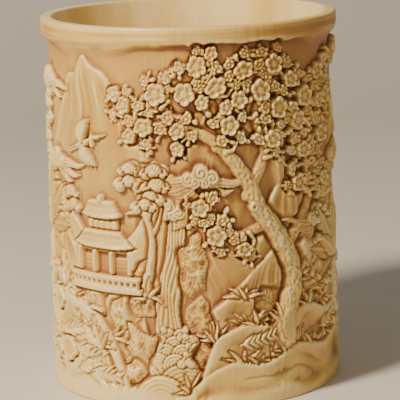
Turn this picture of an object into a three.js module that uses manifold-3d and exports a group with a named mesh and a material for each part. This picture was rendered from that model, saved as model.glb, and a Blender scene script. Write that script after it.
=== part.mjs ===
// Brush holder pot: a hollow round section with a landscape cut deep into its wall, closed below by
// a plate that is let into the foot and held by pegs. Millimetres, +Z up, origin at the foot's centre.
// The carving is laid out on the unrolled wall: a turn in degrees from the front, positive to the
// right, and a height as a share of the body's. Depths are measured outwards from the background.
import * as THREE from "three";
import { mergeVertices } from "three/addons/utils/BufferGeometryUtils.js";
import Module from "manifold-3d";

// Body
const bodyHeight = 140;
const bodyRadius = 56;
const bodySegments = 48;
const groundCut = 4.6;
const skyLevel = 1.75;
const plainRimHeight = 4.5;
const rimBandHeight = 8;
const footBandHeight = 5;
const bandSlope = 1.6;
const lipRound = 1.2;
const lipWidth = 4.6;
const wallThickness = 10;
const mouthDepth = 27;
const reliefSetback = 0.3;
const groundRadius = bodyRadius - groundCut;
const skyRadius = groundRadius + skyLevel;
const mouthRadius = bodyRadius - lipWidth;
const boreRadius = bodyRadius - wallThickness;

// Base plate, its seat in the foot and its pegs
const seatLedge = 5;
const seatDepth = 5.2;
const plateClearance = 0.3;
const plateThickness = 4.2;
const plateEdgeChamfer = 0.6;
const floorStep = 2.4;
const pegCount = 4;
const pegRadius = 1.2;
const pegSides = 16;
const pegLength = 8.4;
const pegClearance = 0.3;
const cutOverrun = 2;
const seatRadius = boreRadius + seatLedge;
const pegCircleRadius = boreRadius + seatLedge / 2;
const plateUnderside = seatDepth - plateThickness;

// Carved forms
const rootDepth = 1.6;
const columnStep = 12;
const tuck = 0.4;
const peakDepth = 3.5;
const peakFall = 1.5;
const peakSteps = 4;
const peakStraightShare = 0.72;
const bankDepth = 3.75;
const frontBankDepth = 4.1;
const bankLeastDepth = 2;
const bankFadeShare = 0.055;
const limbStep = 15;
const plumRadius = 4.8;
const plumLevel = 1.6;
const plumThickness = 2.75;
const crownFloor = 1.1;
const blossomRadius = 4.2;
const blossomDepth = 3.9;
const smallBlossomDepth = 3.3;
const smallBlossomCount = 34;
const blossomPoints = 5;
const rockSize = 12;
const rockDepth = 3.9;
const rockSides = 6;
const rockRimShare = 0.5;
const rockTopShare = 0.7;
const cloudWidth = 20;
const cloudHeight = 10;
const cloudDepth = 3.6;
const cloudPoints = 10;
const cloudLobes = 4;
const cloudLobeShare = 0.16;
const discSides = 8;
const smallDiscSides = 6;
const discTopShare = 0.86;
const waveRadius = 11.5;
const waveDepth = 4.1;
const waveRows = 2;
const waveRowRise = 5.6;
const waveRowDrop = 0.55;
const waveFoot = 1.5;
const wavePitchShare = 1.75;
const foamRadius = 4.2;
const foamDepth = 3.7;
const foamSinkShare = 0.4;
const lotusRadius = 6;
const lotusDepth = 4;
const lotusSquashShare = 0.72;
const leafLength = 24;
const leafWidth = 7;
const leafDepth = 3.8;
const underLeafShare = 0.8;
const crownRadius = 2.2;
const crownDepth = 4;
const bambooRadius = 1.7;
const bambooLevel = 2;
const bambooThickness = 1.3;
const bambooStep = 26;
const bambooLeafLength = 10;
const bambooLeafWidth = 2.6;
const bambooLeafPitch = 1.3;
const padWidth = 12;
const padHeight = 8.4;
const padDepth = 4;
const padTopShare = 0.8;
const smallTrunkRadius = 1.35;
const smallTrunkThickness = 1.6;
const smallPadDepth = 3.6;
const craneWingLength = 10;
const craneWingWidth = 4.4;
const craneBodyLength = 10.6;
const craneBodyWidth = 3.4;
const craneDepth = 3.5;
const craneBodyLevel = 2.4;
const fallRadius = 1.6;
const fallLevel = 2.3;
const fallThickness = 0.9;
const fallRibCount = 3;

// Pavilion
const pavilionWidth = 26;
const terraceHeight = 4;
const terraceOverhang = 3;
const terraceDepth = 4.1;
const columnHeight = 11;
const columnWidth = 1.9;
const columnCount = 4;
const columnDepth = 3.3;
const recessDepth = 0.8;
const roofHeight = 6.5;
const roofOverhang = 4.2;
const roofSteps = 6;
const roofDepth = 3.9;
const roofTopWidthShare = 0.5;
const roofTopDepthShare = 0.6;
const eaveLift = 2.6;
const eaveCurvePower = 4;
const upperStoreyShare = 0.4;
const upperWidthShare = 0.55;
const finialRadius = 1.3;

const weldDistance = 1e-4;
const cutTolerance = 0.15;
const ivory = new THREE.MeshStandardMaterial({ color: 0xdcc596, roughness: 0.42, metalness: 0 });
const plateIvory = new THREE.MeshStandardMaterial({ color: 0xd6c49c, roughness: 0.5, metalness: 0 });
const pegIvory = new THREE.MeshStandardMaterial({ color: 0xc9ad78, roughness: 0.5, metalness: 0 });

const wasm = await Module();
wasm.setup();

// A closed geometry as a solid that can be joined and cut.
function solidFrom(geometry) {
  const bare = geometry.index ? geometry.toNonIndexed() : geometry.clone();
  bare.deleteAttribute("normal");
  bare.deleteAttribute("uv");
  const merged = mergeVertices(bare, weldDistance);
  const vertProperties = merged.attributes.position.array;
  const triVerts = new Uint32Array(merged.index.array);
  return new wasm.Manifold(new wasm.Mesh({ numProp: 3, vertProperties, triVerts }));
}

// The one solid piece, without the sealed pockets that forms lying over each other leave between them
// and without the slivers that a cut leaves along its edges.
function cleaned(solid) {
  const pieces = solid.decompose();
  const whole = pieces.reduce((largest, piece) => (piece.volume() > largest.volume() ? piece : largest));
  return whole.asOriginal().simplify(cutTolerance);
}

function geometryFrom(solid) {
  const mesh = solid.getMesh();
  const geometry = new THREE.BufferGeometry();
  geometry.setAttribute("position", new THREE.BufferAttribute(mesh.vertProperties, 3));
  geometry.setIndex(new THREE.BufferAttribute(mesh.triVerts, 1));
  geometry.computeVertexNormals();
  return geometry;
}

// Profile points are [radius, height]; the outline closes on itself.
function turned(profile) {
  const points = [...profile, profile[0]].map(([radius, height]) => new THREE.Vector2(radius, height));
  return solidFrom(new THREE.LatheGeometry(points, bodySegments).rotateX(Math.PI / 2));
}

// Places on the unrolled wall: x along the skin, y up.
const radians = THREE.MathUtils.degToRad;
const along = (turn) => radians(turn) * bodyRadius;
const up = (heightShare) => heightShare * bodyHeight;

// Bends a form made flat, x along the wall, y up and z out of the background, onto the wall.
function onWall(geometry) {
  const position = geometry.attributes.position;
  for (let i = 0; i < position.count; i += 1) {
    const turn = position.getX(i) / bodyRadius;
    const radius = groundRadius + position.getZ(i);
    const height = position.getY(i);
    position.setXYZ(i, radius * Math.sin(turn), -radius * Math.cos(turn), height);
  }
  return solidFrom(geometry);
}

// A disc that stands out of the wall, a little wider at its root.
function disc(x, y, radius, depth, sides = discSides, squashShare = 1) {
  const total = depth + rootDepth;
  const geometry = new THREE.CylinderGeometry(radius * discTopShare, radius, total, sides);
  geometry.rotateX(Math.PI / 2).scale(1, squashShare, 1).translate(x, y, total / 2 - rootDepth);
  return onWall(geometry);
}

// An outline with a flat face, standing out of the wall; lean turns it in the wall's plane.
function plaque(outline, x, y, depth, lean = 0) {
  const geometry = new THREE.ExtrudeGeometry(new THREE.Shape(outline), {
    depth: depth + rootDepth,
    bevelEnabled: false,
  });
  geometry.rotateZ(lean).translate(x, y, -rootDepth);
  return onWall(geometry);
}

// A block subdivided along the wall so that it follows the bend.
function block(x, y, width, height, depth, steps = 1) {
  const geometry = new THREE.BoxGeometry(width, height, depth + rootDepth, steps, 1, 1);
  geometry.translate(x, y + height / 2, (depth - rootDepth) / 2);
  return onWall(geometry);
}

// The triangles of a tube of rings of points, closed by a fan at each end.
function tubeIndex(steps, sides) {
  const index = [];
  for (let i = 0; i < steps; i += 1) {
    for (let j = 0; j < sides; j += 1) {
      const a = i * sides + j;
      const b = i * sides + ((j + 1) % sides);
      index.push(a, b, b + sides, a, b + sides, a + sides);
    }
  }
  const last = steps * sides;
  for (let j = 1; j < sides - 1; j += 1) {
    index.push(0, j + 1, j, last, last + j, last + j + 1);
  }
  return index;
}

// A tube of rings of points on the unrolled wall, closed by a fan at each end.
function tube(positions, sides) {
  const geometry = new THREE.BufferGeometry();
  const attribute = new THREE.Float32BufferAttribute(positions, 3);
  geometry.setAttribute("position", attribute);
  geometry.setIndex(tubeIndex(attribute.count / sides - 1, sides));
  return onWall(geometry);
}

// A broad form in columns along the wall: x, the low and the high end, and the depth at each of them.
function sheet(columns, back = -rootDepth) {
  const positions = columns.flatMap(([x, low, high, lowDepth, highDepth]) => {
    return [[x, high, highDepth], [x, low, lowDepth], [x, low, back], [x, high, back]].flat();
  });
  return tube(positions, 4);
}

// Rows that each start with a turn, with more put in where two are further apart than the step.
function spaced(rows) {
  const made = [rows[0]];
  rows.slice(1).forEach((row, i) => {
    const count = Math.ceil((row[0] - rows[i][0]) / columnStep);
    for (let k = 1; k <= count; k += 1) {
      made.push(row.map((value, j) => THREE.MathUtils.lerp(rows[i][j], value, k / count)));
    }
  });
  return made;
}

// The section of a limb: shares of its radius across, and of its thickness over its level. The first
// and the last points lie at its level, and the two between them at its root.
const limbTopShares = [[-1, 0], [-0.55, 0.84], [0.55, 0.84], [1, 0]];

// A limb with a domed face through places on the wall: turn, height share and share of the radius.
function limb(placeShares, radius, level, thickness, step = limbStep) {
  const places = placeShares.map(([turn, heightShare]) => new THREE.Vector3(along(turn), up(heightShare), 0));
  const path = new THREE.CatmullRomCurve3(places);
  const stretches = placeShares.length - 1;
  const steps = Math.max(stretches, Math.round(path.getLength() / step));
  const positions = [];
  for (let i = 0; i <= steps; i += 1) {
    const centre = path.getPoint(i / steps);
    const tangent = path.getTangent(i / steps);
    const row = (i / steps) * stretches;
    const low = Math.min(Math.floor(row), stretches - 1);
    const share = THREE.MathUtils.lerp(placeShares[low][2], placeShares[low + 1][2], row - low);
    const section = limbTopShares.map(([across, over]) => [across, level + thickness * share * over]);
    for (const [across, depth] of [[1, -rootDepth], [-1, -rootDepth], ...section]) {
      const off = across * radius * share;
      positions.push(centre.x + off * tangent.y, centre.y - off * tangent.x, depth);
    }
  }
  return tube(positions, limbTopShares.length + 2);
}

// Mountains: turn, height shares of the foot and the summit, spreads in degrees to the left and the
// right, share of the depth.
const peakShares = [
  [-104, 0.3, 0.82, 58, 54, 0.63], [14, 0.3, 0.86, 54, 54, 0.63], [140, 0.3, 0.82, 54, 54, 0.63],
  [226, 0.3, 0.86, 54, 54, 0.63], [-46, 0.32, 0.93, 48, 60, 0.8], [66, 0.3, 0.88, 54, 48, 0.8],
  [104, 0.3, 0.9, 48, 54, 0.83], [182, 0.3, 0.88, 54, 54, 0.83], [256, 0.3, 0.85, 50, 50, 0.83],
  [-84, 0.28, 0.68, 36, 38, 0.94], [-8, 0.28, 0.63, 32, 42, 0.94], [124, 0.28, 0.62, 38, 36, 0.91],
  [212, 0.28, 0.62, 38, 38, 0.91], [44, 0.26, 0.47, 36, 40, 0.97], [160, 0.28, 0.56, 34, 34, 0.97],
  [-54, 0.26, 0.5, 28, 30, 1], [290, 0.28, 0.6, 36, 36, 0.94],
];

// A mountain's crest falls away from its summit, and its slope sinks into the wall towards its foot.
function peak([turn, footShare, topShare, leftSpread, rightSpread, depthShare]) {
  const height = up(topShare - footShare);
  const depth = peakDepth * depthShare;
  const columns = [];
  for (let i = -peakSteps; i <= peakSteps; i += 1) {
    const share = i / peakSteps;
    const x = along(turn + share * (i < 0 ? leftSpread : rightSpread));
    const crestShare = 1 - peakStraightShare * Math.abs(share) - (1 - peakStraightShare) * share ** 2;
    const crest = Math.max(height * crestShare, tuck);
    columns.push([x, up(footShare), up(footShare) + crest, depth - (peakFall * crest) / height, depth]);
  }
  return sheet(columns);
}

// The banks' crests, each a row of turn and height share: the ones behind, then the ones in front.
const backBankShares = [
  [
    [-98, 0.2], [-84, 0.29], [-70, 0.335], [-56, 0.325], [-40, 0.34], [-28, 0.32], [-20, 0.26],
    [-14, 0.14],
  ],
  [
    [-2, 0.14], [4, 0.25], [16, 0.31], [30, 0.29], [46, 0.34], [62, 0.3], [80, 0.36], [100, 0.28],
    [120, 0.2],
  ],
  [[108, 0.13], [118, 0.24], [134, 0.27], [150, 0.21], [160, 0.12]],
  [[194, 0.13], [204, 0.22], [222, 0.25], [238, 0.29], [262, 0.26], [280, 0.34], [300, 0.14]],
];
const frontBankShares = [
  [[-78, 0.16], [-70, 0.235], [-60, 0.275], [-48, 0.265], [-38, 0.22], [-29, 0.13], [-25, 0.06]],
  [
    [0, 0.1], [7, 0.185], [18, 0.225], [32, 0.2], [48, 0.25], [66, 0.215], [86, 0.25], [108, 0.18],
    [124, 0.08],
  ],
  [[-74, 0.08], [-66, 0.155], [-56, 0.2], [-45, 0.185], [-36, 0.13], [-30, 0.05]],
  [[206, 0.1], [216, 0.16], [232, 0.2], [248, 0.17], [264, 0.2], [280, 0.13], [286, 0.06]],
  [[-5, 0.04], [3, 0.085], [14, 0.125], [28, 0.105], [44, 0.15], [60, 0.12], [76, 0.15], [92, 0.07]],
  [[-70, 0.03], [-60, 0.09], [-49, 0.12], [-40, 0.09], [-33, 0.03]],
];

function bank(crestShares, depth) {
  const low = footBandHeight / 2;
  const columns = spaced(crestShares).map(([turn, heightShare]) => {
    const high = up(heightShare);
    const lowDepth = Math.max(depth - bankFadeShare * (high - low), bankLeastDepth);
    return [along(turn), low, high, lowDepth, depth];
  });
  return sheet(columns);
}

// The lower edge of the plain rim: turn, how far down as a share of the rim band's height, and its
// depth there as a share. It is shallow where a mountain runs up into it.
const rimEdgeShares = [
  [-180, 1, 0.9], [-166, 1.5, 0.62], [-150, 1.1, 0.9], [-136, 0.85, 1], [-122, 1.1, 0.9], [-104, 0.8, 1],
  [-92, 1.1, 0.9], [-78, 0.8, 1], [-68, 1, 0.9], [-58, 1.6, 0.62], [-36, 1.6, 0.62], [-26, 1.1, 0.8],
  [-12, 0.85, 0.9], [4, 0.72, 1], [20, 0.8, 1], [34, 0.7, 1], [48, 0.9, 0.9], [60, 1.3, 0.65],
  [74, 1.3, 0.65], [88, 1, 0.9], [98, 1.5, 0.65], [112, 1.5, 0.65], [126, 0.9, 0.9], [142, 0.75, 1],
  [158, 1, 0.9], [172, 1.5, 0.62], [180, 1, 0.9],
];

function rimEdge() {
  const depth = groundCut - reliefSetback;
  const high = bodyHeight - plainRimHeight + tuck;
  const columns = spaced(rimEdgeShares).map(([turn, dropShare, depthShare]) => {
    return [along(turn), bodyHeight - rimBandHeight * dropShare, high, depth * depthShare, depth];
  });
  const half = Math.floor(columns.length / 2);
  const overlapped = columns[half].with(0, columns[half][0] + tuck);
  const wrapped = columns[0].with(0, columns[0][0] - tuck);
  return [
    sheet([wrapped, ...columns.slice(1, half), overlapped]),
    sheet(columns.slice(half)),
  ];
}

// The boughs of the old plum tree on the right bank: turn, height share, share of the trunk's radius.
const plumBoughShares = [
  [
    [37, 0.13, 1.45], [38, 0.2, 1.15], [43, 0.33, 0.92], [36, 0.44, 0.84], [27, 0.52, 0.72],
    [22, 0.6, 0.62], [10, 0.7, 0.46], [-2, 0.745, 0.34], [-13, 0.8, 0.26], [-25, 0.78, 0.15],
  ],
  [[38, 0.4, 0.6], [51, 0.5, 0.44], [57, 0.61, 0.34], [53, 0.72, 0.24], [60, 0.81, 0.16]],
  [[22, 0.56, 0.5], [30, 0.67, 0.38], [26, 0.77, 0.28], [33, 0.87, 0.16]],
  [[10, 0.69, 0.42], [13, 0.79, 0.28], [4, 0.88, 0.16]],
  [[31, 0.48, 0.42], [17, 0.46, 0.26], [6, 0.5, 0.16]],
];

// Blossoms: turn, height share, share of the blossom's radius.
const blossomShares = [
  [-26, 0.8, 0.8], [-18, 0.745, 0.9], [-13, 0.83, 1], [-5, 0.735, 0.8], [-2, 0.83, 1],
  [3, 0.9, 0.95], [10, 0.845, 1.05], [15, 0.745, 0.9], [19, 0.81, 0.8], [21, 0.885, 0.95],
  [28, 0.83, 1.05], [34, 0.895, 0.9], [36, 0.78, 1], [33, 0.7, 0.85], [42, 0.85, 0.85],
  [46, 0.74, 0.95], [49, 0.66, 0.9], [50, 0.8, 1], [59, 0.86, 0.9], [66, 0.79, 0.85],
  [62, 0.69, 1], [64, 0.57, 0.85], [46, 0.575, 0.9], [3, 0.535, 0.8], [9, 0.46, 0.95], [20, 0.42, 0.8],
];

// The hollow that the crown stands in: turn, and height shares of its lower and its upper edge.
const crownHollowShares = [
  [
    [-31, 0.76, 0.83], [-26, 0.71, 0.86], [-12, 0.67, 0.89], [-3, 0.67, 0.91], [6, 0.7, 0.945],
    [18, 0.68, 0.94], [26, 0.68, 0.93], [34, 0.65, 0.945], [42, 0.53, 0.92], [52, 0.52, 0.9],
    [60, 0.51, 0.92], [68, 0.53, 0.85], [73, 0.64, 0.8],
  ],
  [[-4, 0.49, 0.56], [2, 0.44, 0.59], [9, 0.39, 0.57], [17, 0.37, 0.51], [26, 0.38, 0.47]],
];

function crownHollow(edgeShares) {
  const depth = groundCut + cutOverrun;
  const columns = edgeShares.map(([turn, lowShare, highShare]) => {
    return [along(turn), up(lowShare), up(highShare), depth, depth];
  });
  return sheet(columns, crownFloor);
}

// Smaller blossoms sprout round each blossom in turn, where they keep clear of the others.
const smallBlossomShares = [0.62, 0.48, 0.7, 0.55];
const sproutCount = 5;
const sproutTurnShare = 0.382;
const sproutCloseShare = 0.78;
const crownTopShare = 0.955;
const crownLeftTurn = -31;

function blossomPlaces() {
  const placed = blossomShares.map(([turn, heightShare, share]) => {
    return [along(turn), up(heightShare), blossomRadius * share];
  });
  const all = placed.length + smallBlossomCount;
  for (let k = 0; k < placed.length && placed.length < all; k += 1) {
    const [x, y, radius] = placed[k];
    for (let j = 0; j < sproutCount; j += 1) {
      const small = blossomRadius * smallBlossomShares[(j + k) % smallBlossomShares.length];
      const angle = (j / sproutCount + k * sproutTurnShare) * 2 * Math.PI;
      const newX = x + (radius + small) * Math.cos(angle);
      const newY = y + (radius + small) * Math.sin(angle);
      const clear = placed.every(([otherX, otherY, other]) => {
        return Math.hypot(newX - otherX, newY - otherY) > sproutCloseShare * (small + other);
      });
      if (clear && newY + small < up(crownTopShare) && newX > along(crownLeftTurn)) {
        placed.push([newX, newY, small]);
      }
    }
  }
  return placed;
}

function blossom([x, y, radius], i) {
  const outline = [];
  for (let k = 0; k < blossomPoints; k += 1) {
    const angle = (k / blossomPoints) * 2 * Math.PI;
    outline.push(new THREE.Vector2(radius * Math.sin(angle), radius * Math.cos(angle)));
  }
  return plaque(outline, x, y, i < blossomShares.length ? blossomDepth : smallBlossomDepth, i);
}

// Rocks: turn, height share, and shares of the rock's width, height and depth.
const rockShares = [
  [-60, 0.28, 1, 0.9, 0.9], [-46, 0.27, 1.5, 1.1, 0.9], [-30, 0.25, 1.3, 1.5, 1], [-20, 0.3, 1, 1.9, 0.9],
  [-23, 0.17, 1.1, 1.3, 1], [-1, 0.38, 0.9, 2.2, 0.9], [2, 0.24, 1, 1.5, 1], [5, 0.14, 1, 1.1, 1],
  [26, 0.17, 1.2, 1, 1], [55, 0.2, 1.3, 1.3, 1], [68, 0.15, 1.3, 1.2, 1], [-28, 0.09, 1.1, 0.8, 1],
  [80, 0.24, 1.2, 1.6, 0.9], [30, 0.27, 1, 0.9, 0.8], [96, 0.16, 1.4, 1.2, 1], [112, 0.2, 1.2, 1.4, 1],
  [128, 0.13, 1.2, 1, 1], [146, 0.12, 1.2, 0.9, 1], [205, 0.16, 1.3, 1.2, 1], [221, 0.13, 1.2, 1.1, 1],
  [236, 0.2, 1.3, 1.4, 1], [252, 0.13, 1.4, 1.2, 1], [268, 0.17, 1.2, 1.4, 1], [284, 0.3, 1.1, 1.6, 0.9],
];

// A rock: steep sides up to its rim, and from there facets up to a flat top.
function rock([turn, heightShare, wideShare, tallShare, deepShare]) {
  const depth = rockDepth * deepShare;
  const half = rockSize / 2;
  const profile = [
    [0, -rootDepth],
    [half, -rootDepth],
    [half, depth * rockRimShare],
    [half * rockTopShare, depth],
    [0, depth],
  ];
  const points = profile.map(([radius, height]) => new THREE.Vector2(radius, height));
  const geometry = new THREE.LatheGeometry(points, rockSides);
  geometry.rotateY(radians(turn)).rotateX(Math.PI / 2).scale(wideShare, tallShare, 1);
  geometry.translate(along(turn), up(heightShare), 0);
  return onWall(geometry);
}

// Clouds with a lobed edge: turn, height share, share of the full size.
const cloudShares = [
  [-76, 0.84, 0.9], [-66, 0.63, 0.9], [3, 0.61, 0.95], [78, 0.62, 1], [84, 0.9, 0.8], [-9, 0.525, 0.85],
  [146, 0.95, 0.8], [166, 0.58, 1], [222, 0.9, 0.9], [250, 0.6, 1], [57, 0.47, 0.9],
];

function cloud([turn, heightShare, share]) {
  const outline = [];
  for (let i = 0; i < cloudPoints; i += 1) {
    const angle = (i / cloudPoints) * 2 * Math.PI;
    const reachShare = (share / 2) * (1 + cloudLobeShare * Math.cos(cloudLobes * angle));
    const x = reachShare * cloudWidth * Math.cos(angle);
    const y = reachShare * cloudHeight * Math.sin(angle);
    outline.push(new THREE.Vector2(x, y));
  }
  return plaque(outline, along(turn), up(heightShare), cloudDepth);
}

// Rows of rolling waves on each reach of the water, between two turns.
const waterReaches = [[-112, -68], [-34, 10], [146, 208]];

function waves([from, to]) {
  const made = [];
  const pitch = THREE.MathUtils.radToDeg((wavePitchShare * waveRadius) / bodyRadius);
  for (let row = 0; row < waveRows; row += 1) {
    const y = waveFoot + row * waveRowRise;
    for (let turn = from + ((row % 2) * pitch) / 2; turn <= to; turn += pitch) {
      made.push(disc(along(turn), y, waveRadius, waveDepth - row * waveRowDrop));
    }
  }
  return made;
}

// Foam under the waterfall: turn, height share, share of the radius.
const foamShares = [
  [-10.5, 0.2, 0.85], [-4, 0.2, 0.85], [-16, 0.165, 1], [-9, 0.165, 1.1], [-2, 0.165, 1], [-20.5, 0.135, 1.1],
  [-12.5, 0.13, 1.2], [-5, 0.13, 1.2], [2.5, 0.137, 1],
];

function foam([turn, heightShare, share]) {
  const radius = foamRadius * share;
  return disc(along(turn), up(heightShare) - foamSinkShare * radius, radius, foamDepth, smallDiscSides);
}

// Lotus pads: turn, height share, share of the radius.
const lotusShares = [
  [-80, 0.17, 1], [-70, 0.25, 0.9], [-62, 0.12, 1], [160, 0.22, 0.9], [172, 0.16, 1.1], [184, 0.24, 1],
  [-88, 0.23, 0.8], [-74, 0.1, 0.8], [164, 0.1, 0.8], [192, 0.13, 0.9], [176, 0.29, 0.75],
];

function lotus([turn, heightShare, share]) {
  return disc(along(turn), up(heightShare), lotusRadius * share, lotusDepth, discSides, lotusSquashShare);
}

// A pointed leaf along +Y from its stem: its right edge as shares of the half width and the length.
const leafEdgeShares = [[0.85, 0.28], [0.9, 0.66]];
const bladeEdgeShares = [[1, 0.4]];

function leafOutline(length, width, edgeShares) {
  const edge = edgeShares.map(([xShare, yShare]) => new THREE.Vector2((xShare * width) / 2, yShare * length));
  const mirrored = edge.map(({ x, y }) => new THREE.Vector2(-x, y)).reverse();
  return [new THREE.Vector2(0, 0), ...edge, new THREE.Vector2(0, length), ...mirrored];
}

// Every other leaf of a fan lies under its neighbours.
const layerDepth = (i) => (i % 2 ? leafDepth : leafDepth * underLeafShare);

// Plantain leaves fan from a crown: turn and height share of the crown, lean and share of each leaf.
const plantainCrownShares = [[76, 0.34], [282, 0.44]];
const plantainLeafShares = [
  [-96, 0.7], [98, 0.62], [-66, 1], [72, 0.85], [-34, 1.1], [36, 1], [0, 1.15],
];

function plantain([turn, heightShare]) {
  const leaves = plantainLeafShares.map(([lean, share], i) => {
    const outline = leafOutline(leafLength * share, leafWidth, leafEdgeShares);
    return plaque(outline, along(turn), up(heightShare), layerDepth(i), radians(-lean));
  });
  return [...leaves, disc(along(turn), up(heightShare), crownRadius, crownDepth)];
}

// Bamboo canes: turns of the foot and the top, and the top's height share.
const bambooCaneShares = [[134, 130, 0.8], [142, 143, 0.88], [150, 155, 0.74], [127, 121, 0.7]];
const bambooFootShare = 0.1;
const caneTaperShares = [1, 0.9, 0.7];

function bambooCane([foot, top, topShare]) {
  const placeShares = caneTaperShares.map((share, i) => {
    const reach = i / (caneTaperShares.length - 1);
    return [
      THREE.MathUtils.lerp(foot, top, reach),
      THREE.MathUtils.lerp(bambooFootShare, topShare, reach),
      share,
    ];
  });
  return limb(placeShares, bambooRadius, bambooLevel, bambooThickness, bambooStep);
}

// Drooping sprays of bamboo leaves: turn and height share, with the leans of a spray's leaves.
const bambooSprayShares = [
  [127, 0.82], [137, 0.72], [133, 0.6], [146, 0.85], [147, 0.66], [156, 0.72], [139, 0.48], [152, 0.52],
  [122, 0.7], [125, 0.56],
];
const sprayLeans = [-140, 178, 138];

function bambooSpray([turn, heightShare]) {
  return sprayLeans.map((lean, i) => {
    const outline = leafOutline(bambooLeafLength, bambooLeafWidth, bladeEdgeShares);
    const x = along(turn) + (i - 1) * bambooLeafPitch;
    return plaque(outline, x, up(heightShare), layerDepth(i), radians(lean));
  });
}

// The pine on the far side: boughs as for the plum, and needle pads by turn, height share and share.
const pineBoughShares = [
  [[236, 0.16, 1], [232, 0.34, 0.85], [240, 0.5, 0.7], [234, 0.64, 0.55], [226, 0.76, 0.3]],
  [[237, 0.44, 0.5], [250, 0.52, 0.36], [262, 0.5, 0.2]],
  [[238, 0.56, 0.5], [249, 0.67, 0.36], [258, 0.74, 0.2]],
];
const pinePadShares = [
  [220, 0.77, 1], [229, 0.83, 1.1], [236, 0.735, 1], [244, 0.8, 1.05], [253, 0.73, 0.9], [262, 0.79, 1.1],
  [266, 0.7, 0.9], [250, 0.6, 0.9], [261, 0.56, 1.1], [270, 0.49, 0.9], [223, 0.66, 0.9],
];

function pinePad([turn, heightShare, share]) {
  const foot = padWidth / 2;
  const geometry = new THREE.CylinderGeometry(foot * padTopShare, foot, padDepth + rootDepth, discSides);
  geometry.rotateX(Math.PI / 2).scale(share, (share * padHeight) / padWidth, 1);
  geometry.translate(along(turn), up(heightShare), (padDepth - rootDepth) / 2);
  return onWall(geometry);
}

// Small trees: turn, height shares of the foot and the crown, the crown's width in degrees, and the
// share of a pad. Their crowns have pads at shares of the width and of the body's height.
const smallTreeShares = [
  [-62, 0.32, 0.56, 16, 0.56], [-19, 0.32, 0.6, 13, 0.54], [177, 0.3, 0.54, 15, 0.5],
  [206, 0.28, 0.56, 14, 0.5], [112, 0.3, 0.5, 15, 0.5], [64, 0.3, 0.5, 12, 0.44], [276, 0.62, 0.76, 12, 0.4],
  [-88, 0.33, 0.56, 12, 0.45],
];
const crownPadShares = [[-0.32, -0.04], [0.34, -0.05], [-0.2, 0.025], [0.16, 0.03]];
const smallPadWidthShare = 1.7;
const trunkSway = 3;

function smallTree([turn, footShare, crownShare, crownTurn, share], i) {
  const sway = i % 2 ? trunkSway : -trunkSway;
  const middleShare = (footShare + crownShare) / 2;
  const trunk = [[turn, footShare, 1.2], [turn + sway, middleShare, 0.9], [turn, crownShare, 0.4]];
  const pads = crownPadShares.map(([acrossShare, riseShare]) => {
    const x = along(turn + acrossShare * crownTurn);
    const radius = (padWidth * share * smallPadWidthShare) / 2;
    return disc(x, up(crownShare + riseShare), radius, smallPadDepth, smallDiscSides, padHeight / padWidth);
  });
  return [limb(trunk, smallTrunkRadius, plumLevel, smallTrunkThickness), ...pads];
}

// Cranes in flight: turn, height share, lean in degrees and share of the full size.
const craneShares = [[-47, 0.69, 20, 0.95], [170, 0.7, -12, 1], [204, 0.48, 15, 0.9]];
const craneWingLeans = [15, 188];
const craneBodySides = 6;
const craneBodyRings = 4;

function crane([turn, heightShare, lean, share]) {
  const width = craneBodyWidth * share;
  const body = new THREE.SphereGeometry(width / 2, craneBodySides, craneBodyRings);
  body.scale(craneBodyLength / craneBodyWidth, 1, 1).rotateZ(radians(lean));
  body.translate(along(turn), up(heightShare), craneBodyLevel);
  const wings = craneWingLeans.map((wingLean) => {
    const outline = leafOutline(craneWingLength * share, craneWingWidth * share, leafEdgeShares);
    return plaque(outline, along(turn), up(heightShare), craneDepth, radians(lean + wingLean));
  });
  return [onWall(body), ...wings];
}

// The waterfall between the cliff rocks: a course in turn, height share and share of the width, in ribs
// side by side.
const fallCourseShares = [[-8.5, 0.15, 1.15], [-6.6, 0.27, 1], [-9, 0.4, 0.8], [-9.6, 0.525, 0.65]];
const fallPitch = 3;

function waterfall() {
  const made = [];
  for (let i = 0; i < fallRibCount; i += 1) {
    const off = THREE.MathUtils.radToDeg(((i - (fallRibCount - 1) / 2) * fallPitch) / bodyRadius);
    const placeShares = fallCourseShares.map(([turn, heightShare, share]) => {
      return [turn + off * share, heightShare, share];
    });
    made.push(limb(placeShares, fallRadius, fallLevel, fallThickness));
  }
  return made;
}

// A tiled roof: a block whose lower edge sweeps up to the corners and whose top draws in.
function roof(x, y, width, height) {
  const geometry = new THREE.BoxGeometry(width, height, roofDepth + rootDepth, roofSteps, 1, 1);
  const position = geometry.attributes.position;
  for (let i = 0; i < position.count; i += 1) {
    const reach = Math.abs((2 * position.getX(i)) / width);
    if (position.getY(i) > 0) {
      position.setX(i, position.getX(i) * roofTopWidthShare);
      if (position.getZ(i) > 0) position.setZ(i, position.getZ(i) * roofTopDepthShare);
    } else {
      position.setY(i, position.getY(i) + eaveLift * reach ** eaveCurvePower);
    }
  }
  geometry.translate(x, y + height / 2, (roofDepth - rootDepth) / 2);
  return onWall(geometry);
}

// Open pavilions on their terraces: turn, height share, share of the full size.
const pavilionShares = [[-38, 0.315, 1], [190, 0.3, 0.8]];

// The floors and widths of a pavilion's storeys.
function pavilionSizes([turn, heightShare, share]) {
  const width = pavilionWidth * share;
  const storey = columnHeight * share;
  const rise = roofHeight * share;
  const terrace = up(heightShare);
  const floor = terrace + terraceHeight;
  return { x: along(turn), width, storey, rise, terrace, floor, eaves: floor + storey };
}

// The open bays behind its columns, as a form to cut.
function pavilionRecess(shares) {
  const { x, width, floor, eaves } = pavilionSizes(shares);
  const depth = groundCut + cutOverrun;
  const columns = [];
  for (let i = 0; i <= roofSteps; i += 1) {
    columns.push([x + (i / roofSteps - 0.5) * width, floor, eaves, depth, depth]);
  }
  return sheet(columns, recessDepth);
}

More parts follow.
